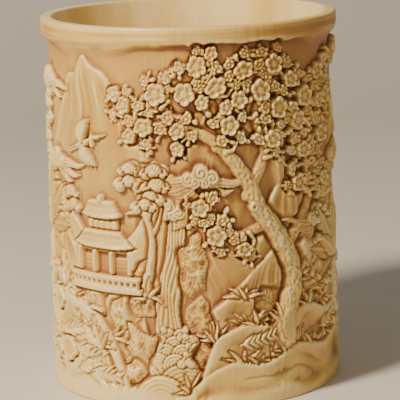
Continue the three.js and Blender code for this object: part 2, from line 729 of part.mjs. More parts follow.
function pavilion(shares) {
  const { x, width, storey, rise, terrace, floor, eaves } = pavilionSizes(shares);
  const upperFloor = eaves + rise;
  const upperStorey = storey * upperStoreyShare;
  const upperEaves = upperFloor + upperStorey;
  const upperWidth = width * upperWidthShare;
  const made = [
    block(x, terrace, width + 2 * terraceOverhang, terraceHeight + tuck, terraceDepth, roofSteps),
    roof(x, eaves - tuck, width + 2 * roofOverhang, rise),
    block(x, upperFloor - tuck, upperWidth, upperStorey + 2 * tuck, columnDepth, roofSteps / 2),
    roof(x, upperEaves, upperWidth + 2 * roofOverhang, rise),
    disc(x, upperEaves + rise, finialRadius, columnDepth),
  ];
  for (let i = 0; i < columnCount; i += 1) {
    const across = (i / (columnCount - 1) - 0.5) * (width - columnWidth);
    made.push(block(x + across, floor, columnWidth, storey, columnDepth));
  }
  return made;
}

function carving() {
  return [
    ...rimEdge(),
    ...backBankShares.map((crestShares) => bank(crestShares, bankDepth)),
    ...frontBankShares.map((crestShares) => bank(crestShares, frontBankDepth)),
    ...plumBoughShares.map((placeShares) => limb(placeShares, plumRadius, plumLevel, plumThickness)),
    ...blossomPlaces().map(blossom),
    ...rockShares.map(rock),
    ...cloudShares.map(cloud),
    ...waterReaches.flatMap(waves),
    ...waterfall(),
    ...foamShares.map(foam),
    ...lotusShares.map(lotus),
    ...plantainCrownShares.flatMap(plantain),
    ...bambooCaneShares.map(bambooCane),
    ...bambooSprayShares.flatMap(bambooSpray),
    ...pineBoughShares.map((placeShares) => limb(placeShares, plumRadius, plumLevel, plumThickness)),
    ...pinePadShares.map(pinePad),
    ...smallTreeShares.flatMap(smallTree),
    ...craneShares.flatMap(crane),
    ...pavilionShares.flatMap(pavilion),
  ];
}

// The forms cut out of the mountains and the sky.
function hollows() {
  return [...crownHollowShares.map(crownHollow), ...pavilionShares.map(pavilionRecess)];
}

// The outside of the section steps back from its plain bands to the open background.
function core() {
  const bandFoot = bodyHeight - plainRimHeight;
  const roundInset = lipRound * (1 - Math.SQRT1_2);
  return turned([
    [0, 0],
    [bodyRadius, 0],
    [bodyRadius, footBandHeight],
    [skyRadius, footBandHeight + bandSlope],
    [skyRadius, bandFoot - bandSlope],
    [bodyRadius, bandFoot],
    [bodyRadius, bodyHeight - lipRound],
    [bodyRadius - roundInset, bodyHeight - roundInset],
    [bodyRadius - lipRound, bodyHeight],
    [0, bodyHeight],
  ]);
}

// The skin of the uncut section, which no carved form stands out of.
function envelope() {
  const reach = bodyRadius - reliefSetback;
  const top = bodyHeight - cutOverrun;
  return turned([[0, cutOverrun], [reach, cutOverrun], [reach, top], [0, top]]);
}

// The bore with its flared mouth, and the seat for the plate below it.
function hollow() {
  const flare = (mouthRadius - boreRadius) / mouthDepth;
  return turned([
    [0, -cutOverrun],
    [seatRadius, -cutOverrun],
    [seatRadius, seatDepth],
    [boreRadius, seatDepth],
    [boreRadius, bodyHeight - mouthDepth],
    [mouthRadius + flare * cutOverrun, bodyHeight + cutOverrun],
    [0, bodyHeight + cutOverrun],
  ]);
}

function pegPlaces() {
  return Array.from({ length: pegCount }, (_, i) => {
    const turn = ((i + 0.5) / pegCount) * 2 * Math.PI;
    return [pegCircleRadius * Math.sin(turn), -pegCircleRadius * Math.cos(turn)];
  });
}

// A peg from the plate's underside up into the body, longer by extra at both ends.
function pegSolid([x, y], radius, extra) {
  const geometry = new THREE.CylinderGeometry(radius, radius, pegLength + 2 * extra, pegSides);
  geometry.rotateX(Math.PI / 2).translate(x, y, plateUnderside + pegLength / 2);
  return solidFrom(geometry);
}

function pegHoles(extra) {
  return wasm.Manifold.union(pegPlaces().map((at) => pegSolid(at, pegRadius + pegClearance, extra)));
}

function carvedBody() {
  const union = wasm.Manifold.union;
  const background = core().add(union(peakShares.map(peak))).subtract(union(hollows()));
  const relief = union(carving()).intersect(envelope());
  return cleaned(background.add(relief).subtract(hollow()).subtract(pegHoles(pegClearance)));
}

// The plate seats in the foot, and a step on it stands up into the bore as the floor.
function basePlate() {
  const flange = seatRadius - plateClearance;
  const step = boreRadius - plateClearance;
  const plate = turned([
    [0, plateUnderside],
    [flange - plateEdgeChamfer, plateUnderside],
    [flange, plateUnderside + plateEdgeChamfer],
    [flange, seatDepth - plateClearance],
    [step, seatDepth - plateClearance],
    [step, seatDepth + floorStep - plateEdgeChamfer],
    [step - plateEdgeChamfer, seatDepth + floorStep],
    [0, seatDepth + floorStep],
  ]);
  return plate.subtract(pegHoles(cutOverrun));
}

function named(name, solid, material) {
  const mesh = new THREE.Mesh(geometryFrom(solid), material);
  mesh.name = name;
  return mesh;
}

const pot = new THREE.Group();
pot.add(named("carved_body", carvedBody(), ivory));
pot.add(named("base_plate", basePlate(), plateIvory));
pegPlaces().forEach((at, i) => {
  pot.add(named(`base_peg_${i + 1}`, pegSolid(at, pegRadius, 0), pegIvory));
});

export default pot;
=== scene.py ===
# Brush holder pot: a landscape cut deep into the wall of a round section, with its base let in below.
# The carving is worked out as a relief, the height of the wall over its background at each cell of a
# grid unrolled round the pot, and the grid is then wrapped and closed with the lip, the bore and the foot.
# Places on the wall are a turn in degrees from the front, positive to the right, and a share of its height.
import math
import bpy
import numpy as np
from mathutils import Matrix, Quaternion, Vector


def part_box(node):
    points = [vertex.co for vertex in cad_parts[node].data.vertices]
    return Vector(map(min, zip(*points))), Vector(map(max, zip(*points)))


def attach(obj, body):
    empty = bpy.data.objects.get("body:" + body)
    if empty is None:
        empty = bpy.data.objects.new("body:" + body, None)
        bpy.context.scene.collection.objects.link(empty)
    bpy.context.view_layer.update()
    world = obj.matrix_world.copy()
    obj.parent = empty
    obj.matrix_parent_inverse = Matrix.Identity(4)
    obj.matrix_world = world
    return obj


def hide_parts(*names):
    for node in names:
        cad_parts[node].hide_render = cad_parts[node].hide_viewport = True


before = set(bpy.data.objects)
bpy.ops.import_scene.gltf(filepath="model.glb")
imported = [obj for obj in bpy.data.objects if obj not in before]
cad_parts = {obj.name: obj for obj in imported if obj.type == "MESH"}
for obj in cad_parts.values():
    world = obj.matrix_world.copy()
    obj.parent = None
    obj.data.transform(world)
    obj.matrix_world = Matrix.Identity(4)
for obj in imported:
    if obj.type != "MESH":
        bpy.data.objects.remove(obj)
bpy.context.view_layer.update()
mm = 0.001
bodyLow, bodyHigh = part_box("carved_body")
bodyHeight = (bodyHigh[2] - bodyLow[2]) / mm
bodyRadius = (bodyHigh[0] - bodyLow[0]) / 2 / mm
girth = 2 * math.pi * bodyRadius
print("frame loaded:", round(bodyHeight), "mm high,", round(2 * bodyRadius), "mm across")

# lengths are in mm up to where a mesh is made
wall = dict(
    columns=1200,  # cells round the pot
    rows=420,  # cells up its outside
    groundCut=4.6,  # from the skin of the section down to the deepest background
    skyLevel=1.75,  # the open background stands this high over the deepest cuts
    skySwell=0.3, skySwellSize=30.0, footRound=0.9, lipRound=1.1,
    skinGap=0.05,  # the highest forms stop this far below the skin
    toolMark=0.035, toolMarkSize=1.6,
    handWave=0.1, handWaveSize=9.0,
    polish=0.11,  # how far the finished carving is rubbed smooth
)
columns = wall["columns"]
rows = wall["rows"]
groundRadius = bodyRadius - wall["groundCut"]
topLevel = wall["groundCut"] - wall["skinGap"]
cellX = girth / columns
rowHeights = np.linspace(wall["footRound"], bodyHeight - wall["lipRound"], rows)
cellY = rowHeights[1] - rowHeights[0]
columnPlaces = np.arange(columns) * cellX
fullTurn = 2 * math.pi
farAway = 99.0
noHeight = -9.0
noiseStart = 300.0  # noise along a single form is read from here on


def along(turn):
    return math.radians(turn) * bodyRadius


def up(heightShare):
    return heightShare * bodyHeight


def ease(value, low=0.0, high=1.0):
    share = np.clip((value - low) / (high - low), 0, 1)
    return share * share * (3 - 2 * share)


# a saw that runs 0, 1, 0 once for each whole number
def ridge(value):
    return 1 - np.abs(2 * (value - np.floor(value)) - 1)


def bell(value):
    return np.exp(-value ** 2)


def dome(share):
    return np.sqrt(np.clip(1 - share ** 2, 0, 1))


# smooth noise from -1 to 1 along a line
def lineNoise(places, size, seed):
    knots = np.random.default_rng(seed).uniform(-1, 1, 512)
    share = np.asarray(places) / size
    low = np.floor(share).astype(int)
    nearer = ease(share - low)
    return knots[low % 512] * (1 - nearer) + knots[(low + 1) % 512] * nearer


noiseTable = np.random.default_rng(7).uniform(-1, 1, (128, 128))


# smooth noise from -1 to 1 at any pair of coordinates; each seed reads another part of the table
def noiseAt(u, v, seed):
    u = u + 17.3 * seed
    v = v + 5.7 * seed
    lowU = np.floor(u).astype(int)
    lowV = np.floor(v).astype(int)
    shareU = ease(u - lowU)
    shareV = ease(v - lowV)
    size = len(noiseTable)
    lines = []
    for row in (lowV, lowV + 1):
        left = noiseTable[row % size, lowU % size]
        right = noiseTable[row % size, (lowU + 1) % size]
        lines.append(left * (1 - shareU) + right * shareU)
    return lines[0] * (1 - shareV) + lines[1] * shareV


# smooth noise from -1 to 1 over the whole wall, which meets itself behind the pot
def wallNoise(sizeX, sizeY, seed):
    random = np.random.default_rng(seed)
    countX = max(3, round(girth / sizeX))
    countY = int(bodyHeight / sizeY) + 3
    coarse = random.uniform(-1, 1, (countY, countX))
    placeX = columnPlaces / girth * countX
    placeY = rowHeights / sizeY
    lowX = np.floor(placeX).astype(int)
    lowY = np.floor(placeY).astype(int)
    shareX = ease(placeX - lowX)
    shareY = ease(placeY - lowY)[:, None]
    across = coarse[:, lowX % countX] * (1 - shareX) + coarse[:, (lowX + 1) % countX] * shareX
    return across[lowY] * (1 - shareY) + across[lowY + 1] * shareY


def layeredNoise(size, seed, octaves=3):
    total = np.zeros((rows, columns))
    weight = 0.0
    for octave in range(octaves):
        share = 0.5 ** octave
        total += share * wallNoise(size * share, size * share, seed + octave)
        weight += share
    return total / weight


# a field smoothed over a distance, wrapped round the pot and mirrored at the rim and the foot
def blurred(field, distance):
    margin = int(3 * distance / cellY) + 2
    padded = np.pad(field, ((margin, margin), (0, 0)), mode="reflect")
    waveX = np.fft.rfftfreq(columns, cellX) * fullTurn
    waveY = np.fft.fftfreq(padded.shape[0], cellY) * fullTurn
    filtered = np.exp(-0.5 * distance ** 2 * (waveX[None, :] ** 2 + waveY[:, None] ** 2))
    smooth = np.fft.irfft2(np.fft.rfft2(padded) * filtered, s=padded.shape)
    return smooth[margin:margin + rows]


# a line smoothed over a distance, wrapped round the pot or held at its ends with the pad mode edge
def softened(line, distance, padMode="wrap", widths=3):
    reach = int(widths * distance / cellX)
    kernel = np.exp(-0.5 * (np.arange(-reach, reach + 1) * cellX / distance) ** 2)
    return np.convolve(np.pad(line, reach, mode=padMode), kernel / kernel.sum(), mode="valid")


# the cells within reach of a place, and how far right of it and above it each one lies
def cellsNear(x, y, reachX, reachY=None):
    reachY = reachX if reachY is None else reachY
    firstRow = min(rows - 1, max(0, int((y - reachY - rowHeights[0]) / cellY)))
    lastRow = max(firstRow, min(rows - 1, int((y + reachY - rowHeights[0]) / cellY) + 1))
    rowIndex = np.arange(firstRow, lastRow + 1)
    columnIndex = np.arange(math.floor((x - reachX) / cellX), math.ceil((x + reachX) / cellX) + 1)
    where = np.ix_(rowIndex, columnIndex % columns)
    right, above = np.meshgrid(columnIndex * cellX - x, rowHeights[rowIndex] - y)
    return where, right, above


# offsets seen along a direction that leans from straight up, positive to the right
def turned(right, above, lean):
    cosine = math.cos(math.radians(lean))
    sine = math.sin(math.radians(lean))
    return right * cosine - above * sine, right * sine + above * cosine


# how far each cell lies over a crest line, measured square to its slope
def overCrest(above, crest):
    return (above - crest) / np.sqrt(1 + np.gradient(crest, cellX) ** 2)


relief = wall["skyLevel"] + wall["skySwell"] * layeredNoise(wall["skySwellSize"], 3)
# where leaves stand close: stain and painted shade are laid darker there
leafStainAndShade = np.zeros((rows, columns))


# a form is drawn on a layer first: edge is the distance outside its outline, negative inside
def newLayer():
    return {
        "edge": np.full((rows, columns), farAway),
        "height": np.full((rows, columns), noHeight),
        "firstRow": rows,
        "lastRow": 0,
    }


def put(layer, where, edge, height):
    inside = (edge < 0) & (height > layer["height"][where])
    layer["height"][where] = np.where(inside, height, layer["height"][where])
    layer["edge"][where] = np.minimum(layer["edge"][where], edge)
    layer["firstRow"] = min(layer["firstRow"], where[0][0, 0])
    layer["lastRow"] = max(layer["lastRow"], where[0][-1, 0])


# the layer is cut into the wall as its cut says: a bowl round the outline, down to a floor or by a drop, and
# the form standing in it; the share given for its leaves is how much stain and painted shade gather round
# them
def press(layer, cut):
    used = slice(layer["firstRow"], layer["lastRow"] + 1)
    edge = layer["edge"][used]
    before = relief[used]
    low = np.minimum(before, cut["floor"]) if "floor" in cut else before - cut["drop"]
    away = ease(edge / cut["bowl"])
    outside = low * (1 - away) + before * away
    relief[used] = np.clip(np.where(edge < 0, layer["height"][used], outside), 0, topLevel)
    if "leafStainAndShadeShare" in cut:
        leafStainAndShade[used] = np.maximum(leafStainAndShade[used], cut["leafStainAndShadeShare"] * (1 - ease(edge / (2 * cut["bowl"]))))


# 0 on the outline and 1 where the form has reached its full height
def rounded(edge, rim):
    return dome(1 - np.clip(-edge / rim, 0, 1))


# a smooth line through given places, each (turn, height share, share of the thickness)
def smoothLine(placeShares, step):
    places = [(along(turn), up(height), share) for turn, height, share in placeShares]
    places = [places[0], *places, places[-1]]
    line = []
    for i in range(1, len(places) - 2):
        before, start, end, after = (np.array(place) for place in places[i - 1:i + 3])
        count = max(2, int(np.hypot(*(end - start)[:2]) / step))
        for j in range(count):
            t = j / count
            line.append(0.5 * (
                2 * start
                + (end - before) * t
                + (2 * before - 5 * start + 4 * end - after) * t ** 2
                + (3 * start - before - 3 * end + after) * t ** 3
            ))
    line.append(np.array(places[-1]))
    return line


# each row of a table is cut with a seed of its own
def cutEach(cut, table, firstSeed=0):
    for i, row in enumerate(table):
        cut(*row, seed=firstSeed + i)


peaks = dict(
    straightShare=0.72,  # the crest falls straight by this share and in a curve by the next
    curvedShare=0.28,
    shoulderShare=0.07, shoulderSize=15.0,
    notchShare=0.03, notchSize=5.2, crestSoft=0.9,
    fall=1.5,  # how far the slope has sunk at the foot
    foldDepth=1.15, foldSize=10.0, foldLength=60.0,
    spurDepth=0.5, spurSize=4.6, spurLength=18.0,
    strokeDepth=0.3, strokeSize=2.3, strokeLength=14.0,
    warp=4.5, warpSize=16.0,
    rim=1.2, rimDrop=0.5,
    bowl=5.0, drop=0.3, lowest=0.9,
)
# turn, height shares of the foot and the summit, spreads in degrees to the left and right, crest level
peakShares = [
    (-104, 0.3, 0.82, 58, 54, 2.2), (14, 0.3, 0.86, 54, 54, 2.2),
    (140, 0.3, 0.82, 54, 54, 2.2), (226, 0.3, 0.86, 54, 54, 2.2),
    (-46, 0.32, 0.93, 48, 60, 2.8), (66, 0.3, 0.88, 54, 48, 2.8), (104, 0.3, 0.9, 48, 54, 2.9),
    (182, 0.3, 0.88, 54, 54, 2.9), (256, 0.3, 0.85, 50, 50, 2.9),
    (-84, 0.28, 0.68, 36, 38, 3.3), (-8, 0.28, 0.63, 32, 42, 3.3), (124, 0.28, 0.62, 38, 36, 3.2),
    (212, 0.28, 0.62, 38, 38, 3.2), (44, 0.26, 0.47, 36, 40, 3.4), (160, 0.28, 0.56, 34, 34, 3.4),
    (-54, 0.26, 0.5, 28, 30, 3.5), (290, 0.28, 0.6, 36, 36, 3.3),
]


def peak(turn, footShare, topShare, leftSpread, rightSpread, level, seed):
    height = up(topShare - footShare)
    layer = newLayer()
    reach = along(max(leftSpread, rightSpread)) * 1.1
    where, right, above = cellsNear(along(turn), up(footShare), reach, height + 9)
    x = right[0]
    share = np.abs(x) / np.where(x < 0, along(leftSpread), along(rightSpread))
    shoulders = peaks["shoulderShare"] * lineNoise(x + noiseStart, peaks["shoulderSize"], seed)
    shoulders += peaks["notchShare"] * lineNoise(x + noiseStart, peaks["notchSize"], seed + 50)
    fallen = 1 - peaks["straightShare"] * share - peaks["curvedShare"] * share ** 2
    crest = softened(height * (fallen + shoulders * ease(share * 5)), peaks["crestSoft"], "edge", widths=4)
    edge = overCrest(above, crest)
    below = np.clip(crest - above, 0, None)
    sink = np.clip((height - above) / height, 0, 2)
    bend = peaks["warp"] * noiseAt(x / peaks["warpSize"], above / peaks["warpSize"], seed + 9)
    fan = (x + bend * ease(sink, 0, 0.5)) / (0.3 + 0.85 * sink)
    fold = noiseAt(fan / peaks["foldSize"], above / peaks["foldLength"], seed)
    spur = 1 - 2.4 * np.abs(noiseAt(fan / peaks["spurSize"], above / peaks["spurLength"], seed + 3))
    stroke = 1 - 2 * np.abs(noiseAt(fan / peaks["strokeSize"], above / peaks["strokeLength"], seed + 5))
    strokePlaces = ease(noiseAt(fan / 12, above / 16, seed + 7), -0.3, 0.5)
    field = level - peaks["fall"] * np.clip(below / height, 0, 1)
    field += peaks["foldDepth"] * fold * ease(below / 8)
    field += peaks["spurDepth"] * (spur - 0.3) * ease(below / 10) * ease(fold, -0.2, 0.5)
    field += peaks["strokeDepth"] * stroke * ease(below / 5) * strokePlaces
    field = np.maximum(field, peaks["lowest"]) - peaks["rimDrop"] * (1 - rounded(edge, peaks["rim"]))
    put(layer, where, edge, field)
    press(layer, peaks)


cutEach(peak, peakShares, 11)
print("peaks cut")

bands = dict(
    rimHeight=8.0, rimSway=0.5,
    rimStep=0.8,  # the rim's edge is this wide, and wider by rimSoft where it is shallow
    rimSoft=12.0,
    rimGap=0.12,  # the rim lies this far below the highest forms
    rimMeanShare=0.85,
    rimLevelShare=0.55,  # how much of the edge's rise and fall is left when it is rubbed down
    sureRim=4.4,  # no carving reaches this close to the top
    sureSoft=0.3, sureGap=0.1,
    markDepth=0.1,  # the scraper's marks, which run round the rim
    markLength=15.0, markPitch=0.9,
    footHeight=5.0, footSway=1.6, footSoft=4.5,
)
# the lower edge of the plain rim: turn, how far down as a share of the rim's height, and its depth
# there as a share; it is shallow where a mountain runs up into it
rimEdgeShares = [
    (-180, 1, 0.9), (-166, 1.5, 0.62), (-150, 1.1, 0.9), (-136, 0.85, 1), (-122, 1.1, 0.9), (-104, 0.8, 1),
    (-92, 1.1, 0.9), (-78, 0.8, 1), (-68, 1, 0.9), (-58, 1.6, 0.62), (-36, 1.6, 0.62), (-26, 1.1, 0.8),
    (-12, 0.85, 0.9), (4, 0.72, 1), (20, 0.8, 1), (34, 0.7, 1), (48, 0.9, 0.9), (60, 1.3, 0.65),
    (74, 1.3, 0.65), (88, 1, 0.9), (98, 1.5, 0.65), (112, 1.5, 0.65), (126, 0.9, 0.9), (142, 0.75, 1),
    (158, 1, 0.9), (172, 1.5, 0.62), (180, 1, 0.9),
]


def plainBands():
    steps = np.round(1.6 * lineNoise(columnPlaces, 9, 51) + 0.9 * lineNoise(columnPlaces, 4, 52)) / 1.6
    places = (columnPlaces + girth / 2) % girth - girth / 2
    turns, dropShares, depthShares = zip(*rimEdgeShares)
    turns = [along(turn) for turn in turns]
    drop = softened(np.interp(places, turns, dropShares), 6.0)
    drop = bands["rimMeanShare"] + bands["rimLevelShare"] * (drop - bands["rimMeanShare"])
    shallow = 1 - softened(np.interp(places, turns, depthShares), 5.0)
    border = bands["rimHeight"] * drop + bands["rimSway"] * softened(steps, 0.6)
    fromTop = bodyHeight - rowHeights[:, None]
    run = (fromTop - bands["sureRim"]) / (border - bands["sureRim"])
    level = (topLevel - bands["rimGap"]) * (1 - shallow * ease(run))
    width = bands["rimStep"] + bands["rimSoft"] * shallow
    share = 1 - ease((fromTop - border) / width, -0.5, 0.5)
    marks = bands["markDepth"] * wallNoise(bands["markLength"], bands["markPitch"], 53)
    marks *= ease(fromTop, 2.0, 3.5)
    relief[:] = relief * (1 - share) + (np.maximum(level, relief) + marks) * share


plainBands()

banks = dict(
    level=3.75, frontLevel=4.1,
    fade=0.055,  # how far a slope sinks with each mm from its crest
    rim=1.5, rimDrop=0.6,
    bowl=3.0, drop=0.5, lowest=2.0, crestSoft=2.4,
    swayDepth=0.5, swaySize=6.5,
    nickDepth=0.15, nickSize=1.6,
    waveDepth=0.6, waveSize=9.0,
    grooveDepth=0.5, groovePitch=4.4,
    hollowDepth=1.15, hollowSize=13.0,  # soft hollows scooped in the slopes
    endRound=9.0,  # the crest falls to the foot over this distance at both ends
    tuftStep=5.2,  # degrees between the tufts behind a crest
)
# crest of each bank, each (turn, height share)
backBankShares = [
    [
        (-98, 0.2), (-84, 0.29), (-70, 0.335), (-56, 0.325), (-40, 0.34), (-28, 0.32), (-20, 0.26),
        (-14, 0.14),
    ],
    [
        (-2, 0.14), (4, 0.25), (16, 0.31), (30, 0.29), (46, 0.34), (62, 0.3), (80, 0.36), (100, 0.28),
        (120, 0.2),
    ],
    [(108, 0.13), (118, 0.24), (134, 0.27), (150, 0.21), (160, 0.12)],
    [(194, 0.13), (204, 0.22), (222, 0.25), (238, 0.29), (262, 0.26), (280, 0.34), (300, 0.14)],
]
frontBankShares = [
    [(-78, 0.16), (-70, 0.235), (-60, 0.275), (-48, 0.265), (-38, 0.22), (-29, 0.13), (-25, 0.06)],
    [
        (0, 0.1), (7, 0.185), (18, 0.225), (32, 0.2), (48, 0.25), (66, 0.215), (86, 0.25), (108, 0.18),
        (124, 0.08),
    ],
    [(-74, 0.08), (-66, 0.155), (-56, 0.2), (-45, 0.185), (-36, 0.13), (-30, 0.05)],
    [(206, 0.1), (216, 0.16), (232, 0.2), (248, 0.17), (264, 0.2), (280, 0.13), (286, 0.06)],
    [(-5, 0.04), (3, 0.085), (14, 0.125), (28, 0.105), (44, 0.15), (60, 0.12), (76, 0.15), (92, 0.07)],
    [(-70, 0.03), (-60, 0.09), (-49, 0.12), (-40, 0.09), (-33, 0.03)],
]


def bank(crestShares, seed, level):
    layer = newLayer()
    turns, heightShares = zip(*crestShares)
    middle = along((turns[0] + turns[-1]) / 2)
    half = along(turns[-1] - turns[0]) / 2
    where, right, above = cellsNear(middle, 0, half, up(0.45))
    x = right[0]
    crest = np.interp(x + middle, [along(turn) for turn in turns], [up(share) for share in heightShares])
    crest = softened(crest, banks["crestSoft"], "edge")
    crest += banks["swayDepth"] * lineNoise(x + noiseStart, banks["swaySize"], seed)
    crest += banks["nickDepth"] * lineNoise(x + noiseStart, banks["nickSize"], seed + 9)
    inFromEnd = np.clip((half - np.abs(x)) / banks["endRound"], 0, 1)
    crest *= np.sqrt(1 - (1 - inFromEnd) ** 2)
    edge = overCrest(above, crest)
    warp = noiseAt((x + middle) / 21, above / 12, seed + 6)
    groove = ridge(-edge / banks["groovePitch"] + 1.1 * warp + 0.5 * np.sin(x / 9 + seed)) ** 3
    groove = groove * ease(noiseAt((x + middle) / 13, above / 9, seed + 4), -0.5, 0.4)
    hollowPlaces = ((x + middle + above) / banks["hollowSize"], (above - 0.6 * x) / banks["hollowSize"])
    scoop = ease(noiseAt(*hollowPlaces, seed + 8), -0.1, 0.9)
    wave = lineNoise(x + above * 0.6 + noiseStart, banks["waveSize"], seed + 3)
    field = level + banks["fade"] * edge - banks["rimDrop"] * (1 - rounded(edge, banks["rim"]))
    field += banks["waveDepth"] * wave * ease(-edge, 1, 6)
    field -= banks["grooveDepth"] * groove * ease(-edge, 1, 5)
    field -= banks["hollowDepth"] * scoop * ease(-edge, 1.5, 8)
    put(layer, where, edge, np.maximum(field, banks["lowest"]))
    press(layer, banks)


for i, crestShares in enumerate(backBankShares):
    bank(crestShares, seed=i + 1, level=banks["level"])
print("banks cut")

fall = dict(
    fromTurn=-13.0, toTurn=-4.0, footShare=0.15, brinkShare=0.525,
    level=2.3, sway=2.1, strandPitch=1.5, strandDepth=0.95,
    foamDepth=0.5,  # the water heaps up at the foot, and a little at each ledge
    ledgeDepth=0.35, bowl=2.4, floor=0.9,
)


def waterfall():
    layer = newLayer()
    foot = up(fall["footShare"])
    brink = up(fall["brinkShare"])
    middle = along((fall["fromTurn"] + fall["toTurn"]) / 2)
    halfWidth = along(fall["toTurn"] - fall["fromTurn"]) / 2
    halfHeight = (brink - foot) / 2
    where, right, above = cellsNear(middle, (foot + brink) / 2, halfWidth + 8, halfHeight + 4)
    rise = (above + halfHeight) / (brink - foot)
    width = halfWidth * (1.15 - 0.5 * ease(rise, 0.1, 0.95)) * (1 + 0.08 * np.sin(rise * 17))
    bend = right + fall["sway"] * np.sin(rise * 5.2)
    edge = np.maximum(np.abs(bend) - width, np.abs(above) - halfHeight)
    ripple = 0.3 * np.sin(rise * 16 + bend * 0.7)
    strand = ridge(bend / fall["strandPitch"] * (halfWidth / width) ** 0.5 + ripple)
    ledge = ridge(rise * 3.3 + 0.1 * np.sin(bend)) ** 5
    field = fall["level"] + fall["strandDepth"] * np.sqrt(strand)
    field = field + fall["foamDepth"] * ease(1 - rise, 0.6, 1) + fall["ledgeDepth"] * ledge
    put(layer, where, edge, field)
    press(layer, fall)


waterfall()

rocks = dict(
    size=12.0, depth=4.0, facets=7,
    softness=12.0,  # the higher, the sharper the arrises between the facets
    warpShare=0.11,
    strokeDepth=0.3, strokePitch=1.35,
    crackDepth=0.35, crackWidthShare=0.07,
    cragDepth=0.85, cragSize=4.2,
    bowl=1.6, floor=1.1,
    frontShare=0.24,  # a rock that stands lower than this lies in front of the water
)
# turn, height share, and shares of the rock's width, height and depth
rockShares = [
    (-60, 0.28, 1, 0.9, 0.9), (-46, 0.27, 1.5, 1.1, 0.9), (-30, 0.25, 1.3, 1.5, 1), (-20, 0.3, 1, 1.9, 0.9),
    (-23, 0.17, 1.1, 1.3, 1), (-1, 0.38, 0.9, 2.2, 0.9), (2, 0.24, 1, 1.5, 1), (5, 0.14, 1, 1.1, 1),
    (26, 0.17, 1.2, 1, 1), (55, 0.2, 1.3, 1.3, 1), (68, 0.15, 1.3, 1.2, 1), (-28, 0.09, 1.1, 0.8, 1),
    (80, 0.24, 1.2, 1.6, 0.9), (30, 0.27, 1, 0.9, 0.8), (96, 0.16, 1.4, 1.2, 1), (112, 0.2, 1.2, 1.4, 1),
    (128, 0.13, 1.2, 1, 1), (146, 0.12, 1.2, 0.9, 1), (205, 0.16, 1.3, 1.2, 1), (221, 0.13, 1.2, 1.1, 1),
    (236, 0.2, 1.3, 1.4, 1), (252, 0.13, 1.4, 1.2, 1), (268, 0.17, 1.2, 1.4, 1), (284, 0.3, 1.1, 1.6, 0.9),
]
crags = 1 - np.abs(layeredNoise(rocks["cragSize"], 27)) * 2.2


# facets leaning away from a top, rubbed into each other and dressed with strokes that run down them
def rock(turn, heightShare, wideShare, tallShare, deepShare, seed):
    random = np.random.default_rng(seed)
    halfWidth = rocks["size"] * wideShare / 2
    halfHeight = rocks["size"] * tallShare / 2
    layer = newLayer()
    where, right, above = cellsNear(along(turn), up(heightShare), halfWidth * 1.5 + 3, halfHeight * 1.5 + 3)
    warp = rocks["warpShare"]
    u = right / halfWidth + warp * np.sin(above / 1.9 + seed)
    u = u + 0.6 * warp * np.sin(right / 1.1 + above / 2.3 + 2 * seed)
    v = above / halfHeight + warp * np.sin(right / 2.2 + 2 * seed) + 0.5 * warp * np.sin(above / 0.9 + seed)
    total = np.zeros(u.shape)
    nearest = np.full(u.shape, farAway)
    stroke = np.zeros(u.shape)
    for k in range(rocks["facets"]):
        angle = fullTurn * (k + random.uniform(-0.35, 0.35)) / rocks["facets"]
        steep = random.uniform(0.8, 2.0)
        reach = random.uniform(0.68, 1.14)
        cosine, sine = math.cos(angle), math.sin(angle)
        facet = (reach - (u * cosine + v * sine)) * steep
        acrossFacet = right * sine - above * cosine
        downFacet = right * cosine + above * sine
        lines = ridge(acrossFacet / rocks["strokePitch"] + 0.3 * np.sin(downFacet / 1.8 + seed))
        stroke = np.where(facet < nearest, lines, stroke)
        nearest = np.minimum(nearest, facet)
        total += np.exp(-rocks["softness"] * np.clip(facet, -1, 3))
    shaped = -np.log(total) / rocks["softness"]
    crown = 0.85 + 0.25 * u * math.cos(seed) + 0.2 * v * math.sin(seed)
    onTop = ease(shaped - crown, -0.25, 0.1)
    shaped = np.minimum(shaped, crown + 0.25 * (shaped - crown))
    field = rocks["depth"] * deepShare * (0.52 + 0.46 * np.clip(shaped, 0, 1.1))
    offCrack = u * math.sin(seed) + v * math.cos(seed) + 0.2 * np.sin(right / 1.7)
    crack = bell(offCrack / rocks["crackWidthShare"])
    field = field - rocks["strokeDepth"] * (1 - stroke) ** 2 * (1 - 0.6 * onTop) - rocks["crackDepth"] * crack
    field += rocks["cragDepth"] * (crags[where] - 0.6) * ease(shaped, 0, 0.35)
    put(layer, where, -shaped * min(halfWidth, halfHeight) / 1.5, field)
    press(layer, rocks)


def cutRocks(inFront):
    for i, row in enumerate(rockShares):
        if (row[1] < rocks["frontShare"]) == inFront:
            rock(*row, seed=31 + i)


cutRocks(False)

bark = dict(
    step=2.2,  # length of one straight piece of a bough
    furrows=6.4,  # furrows across a bough
    furrowDepth=0.8,
    fullRadius=2.2,  # a thinner bough has shallower furrows
    platePitch=2.4,
    wobbleShare=0.09,  # how far the outline swells and narrows
)


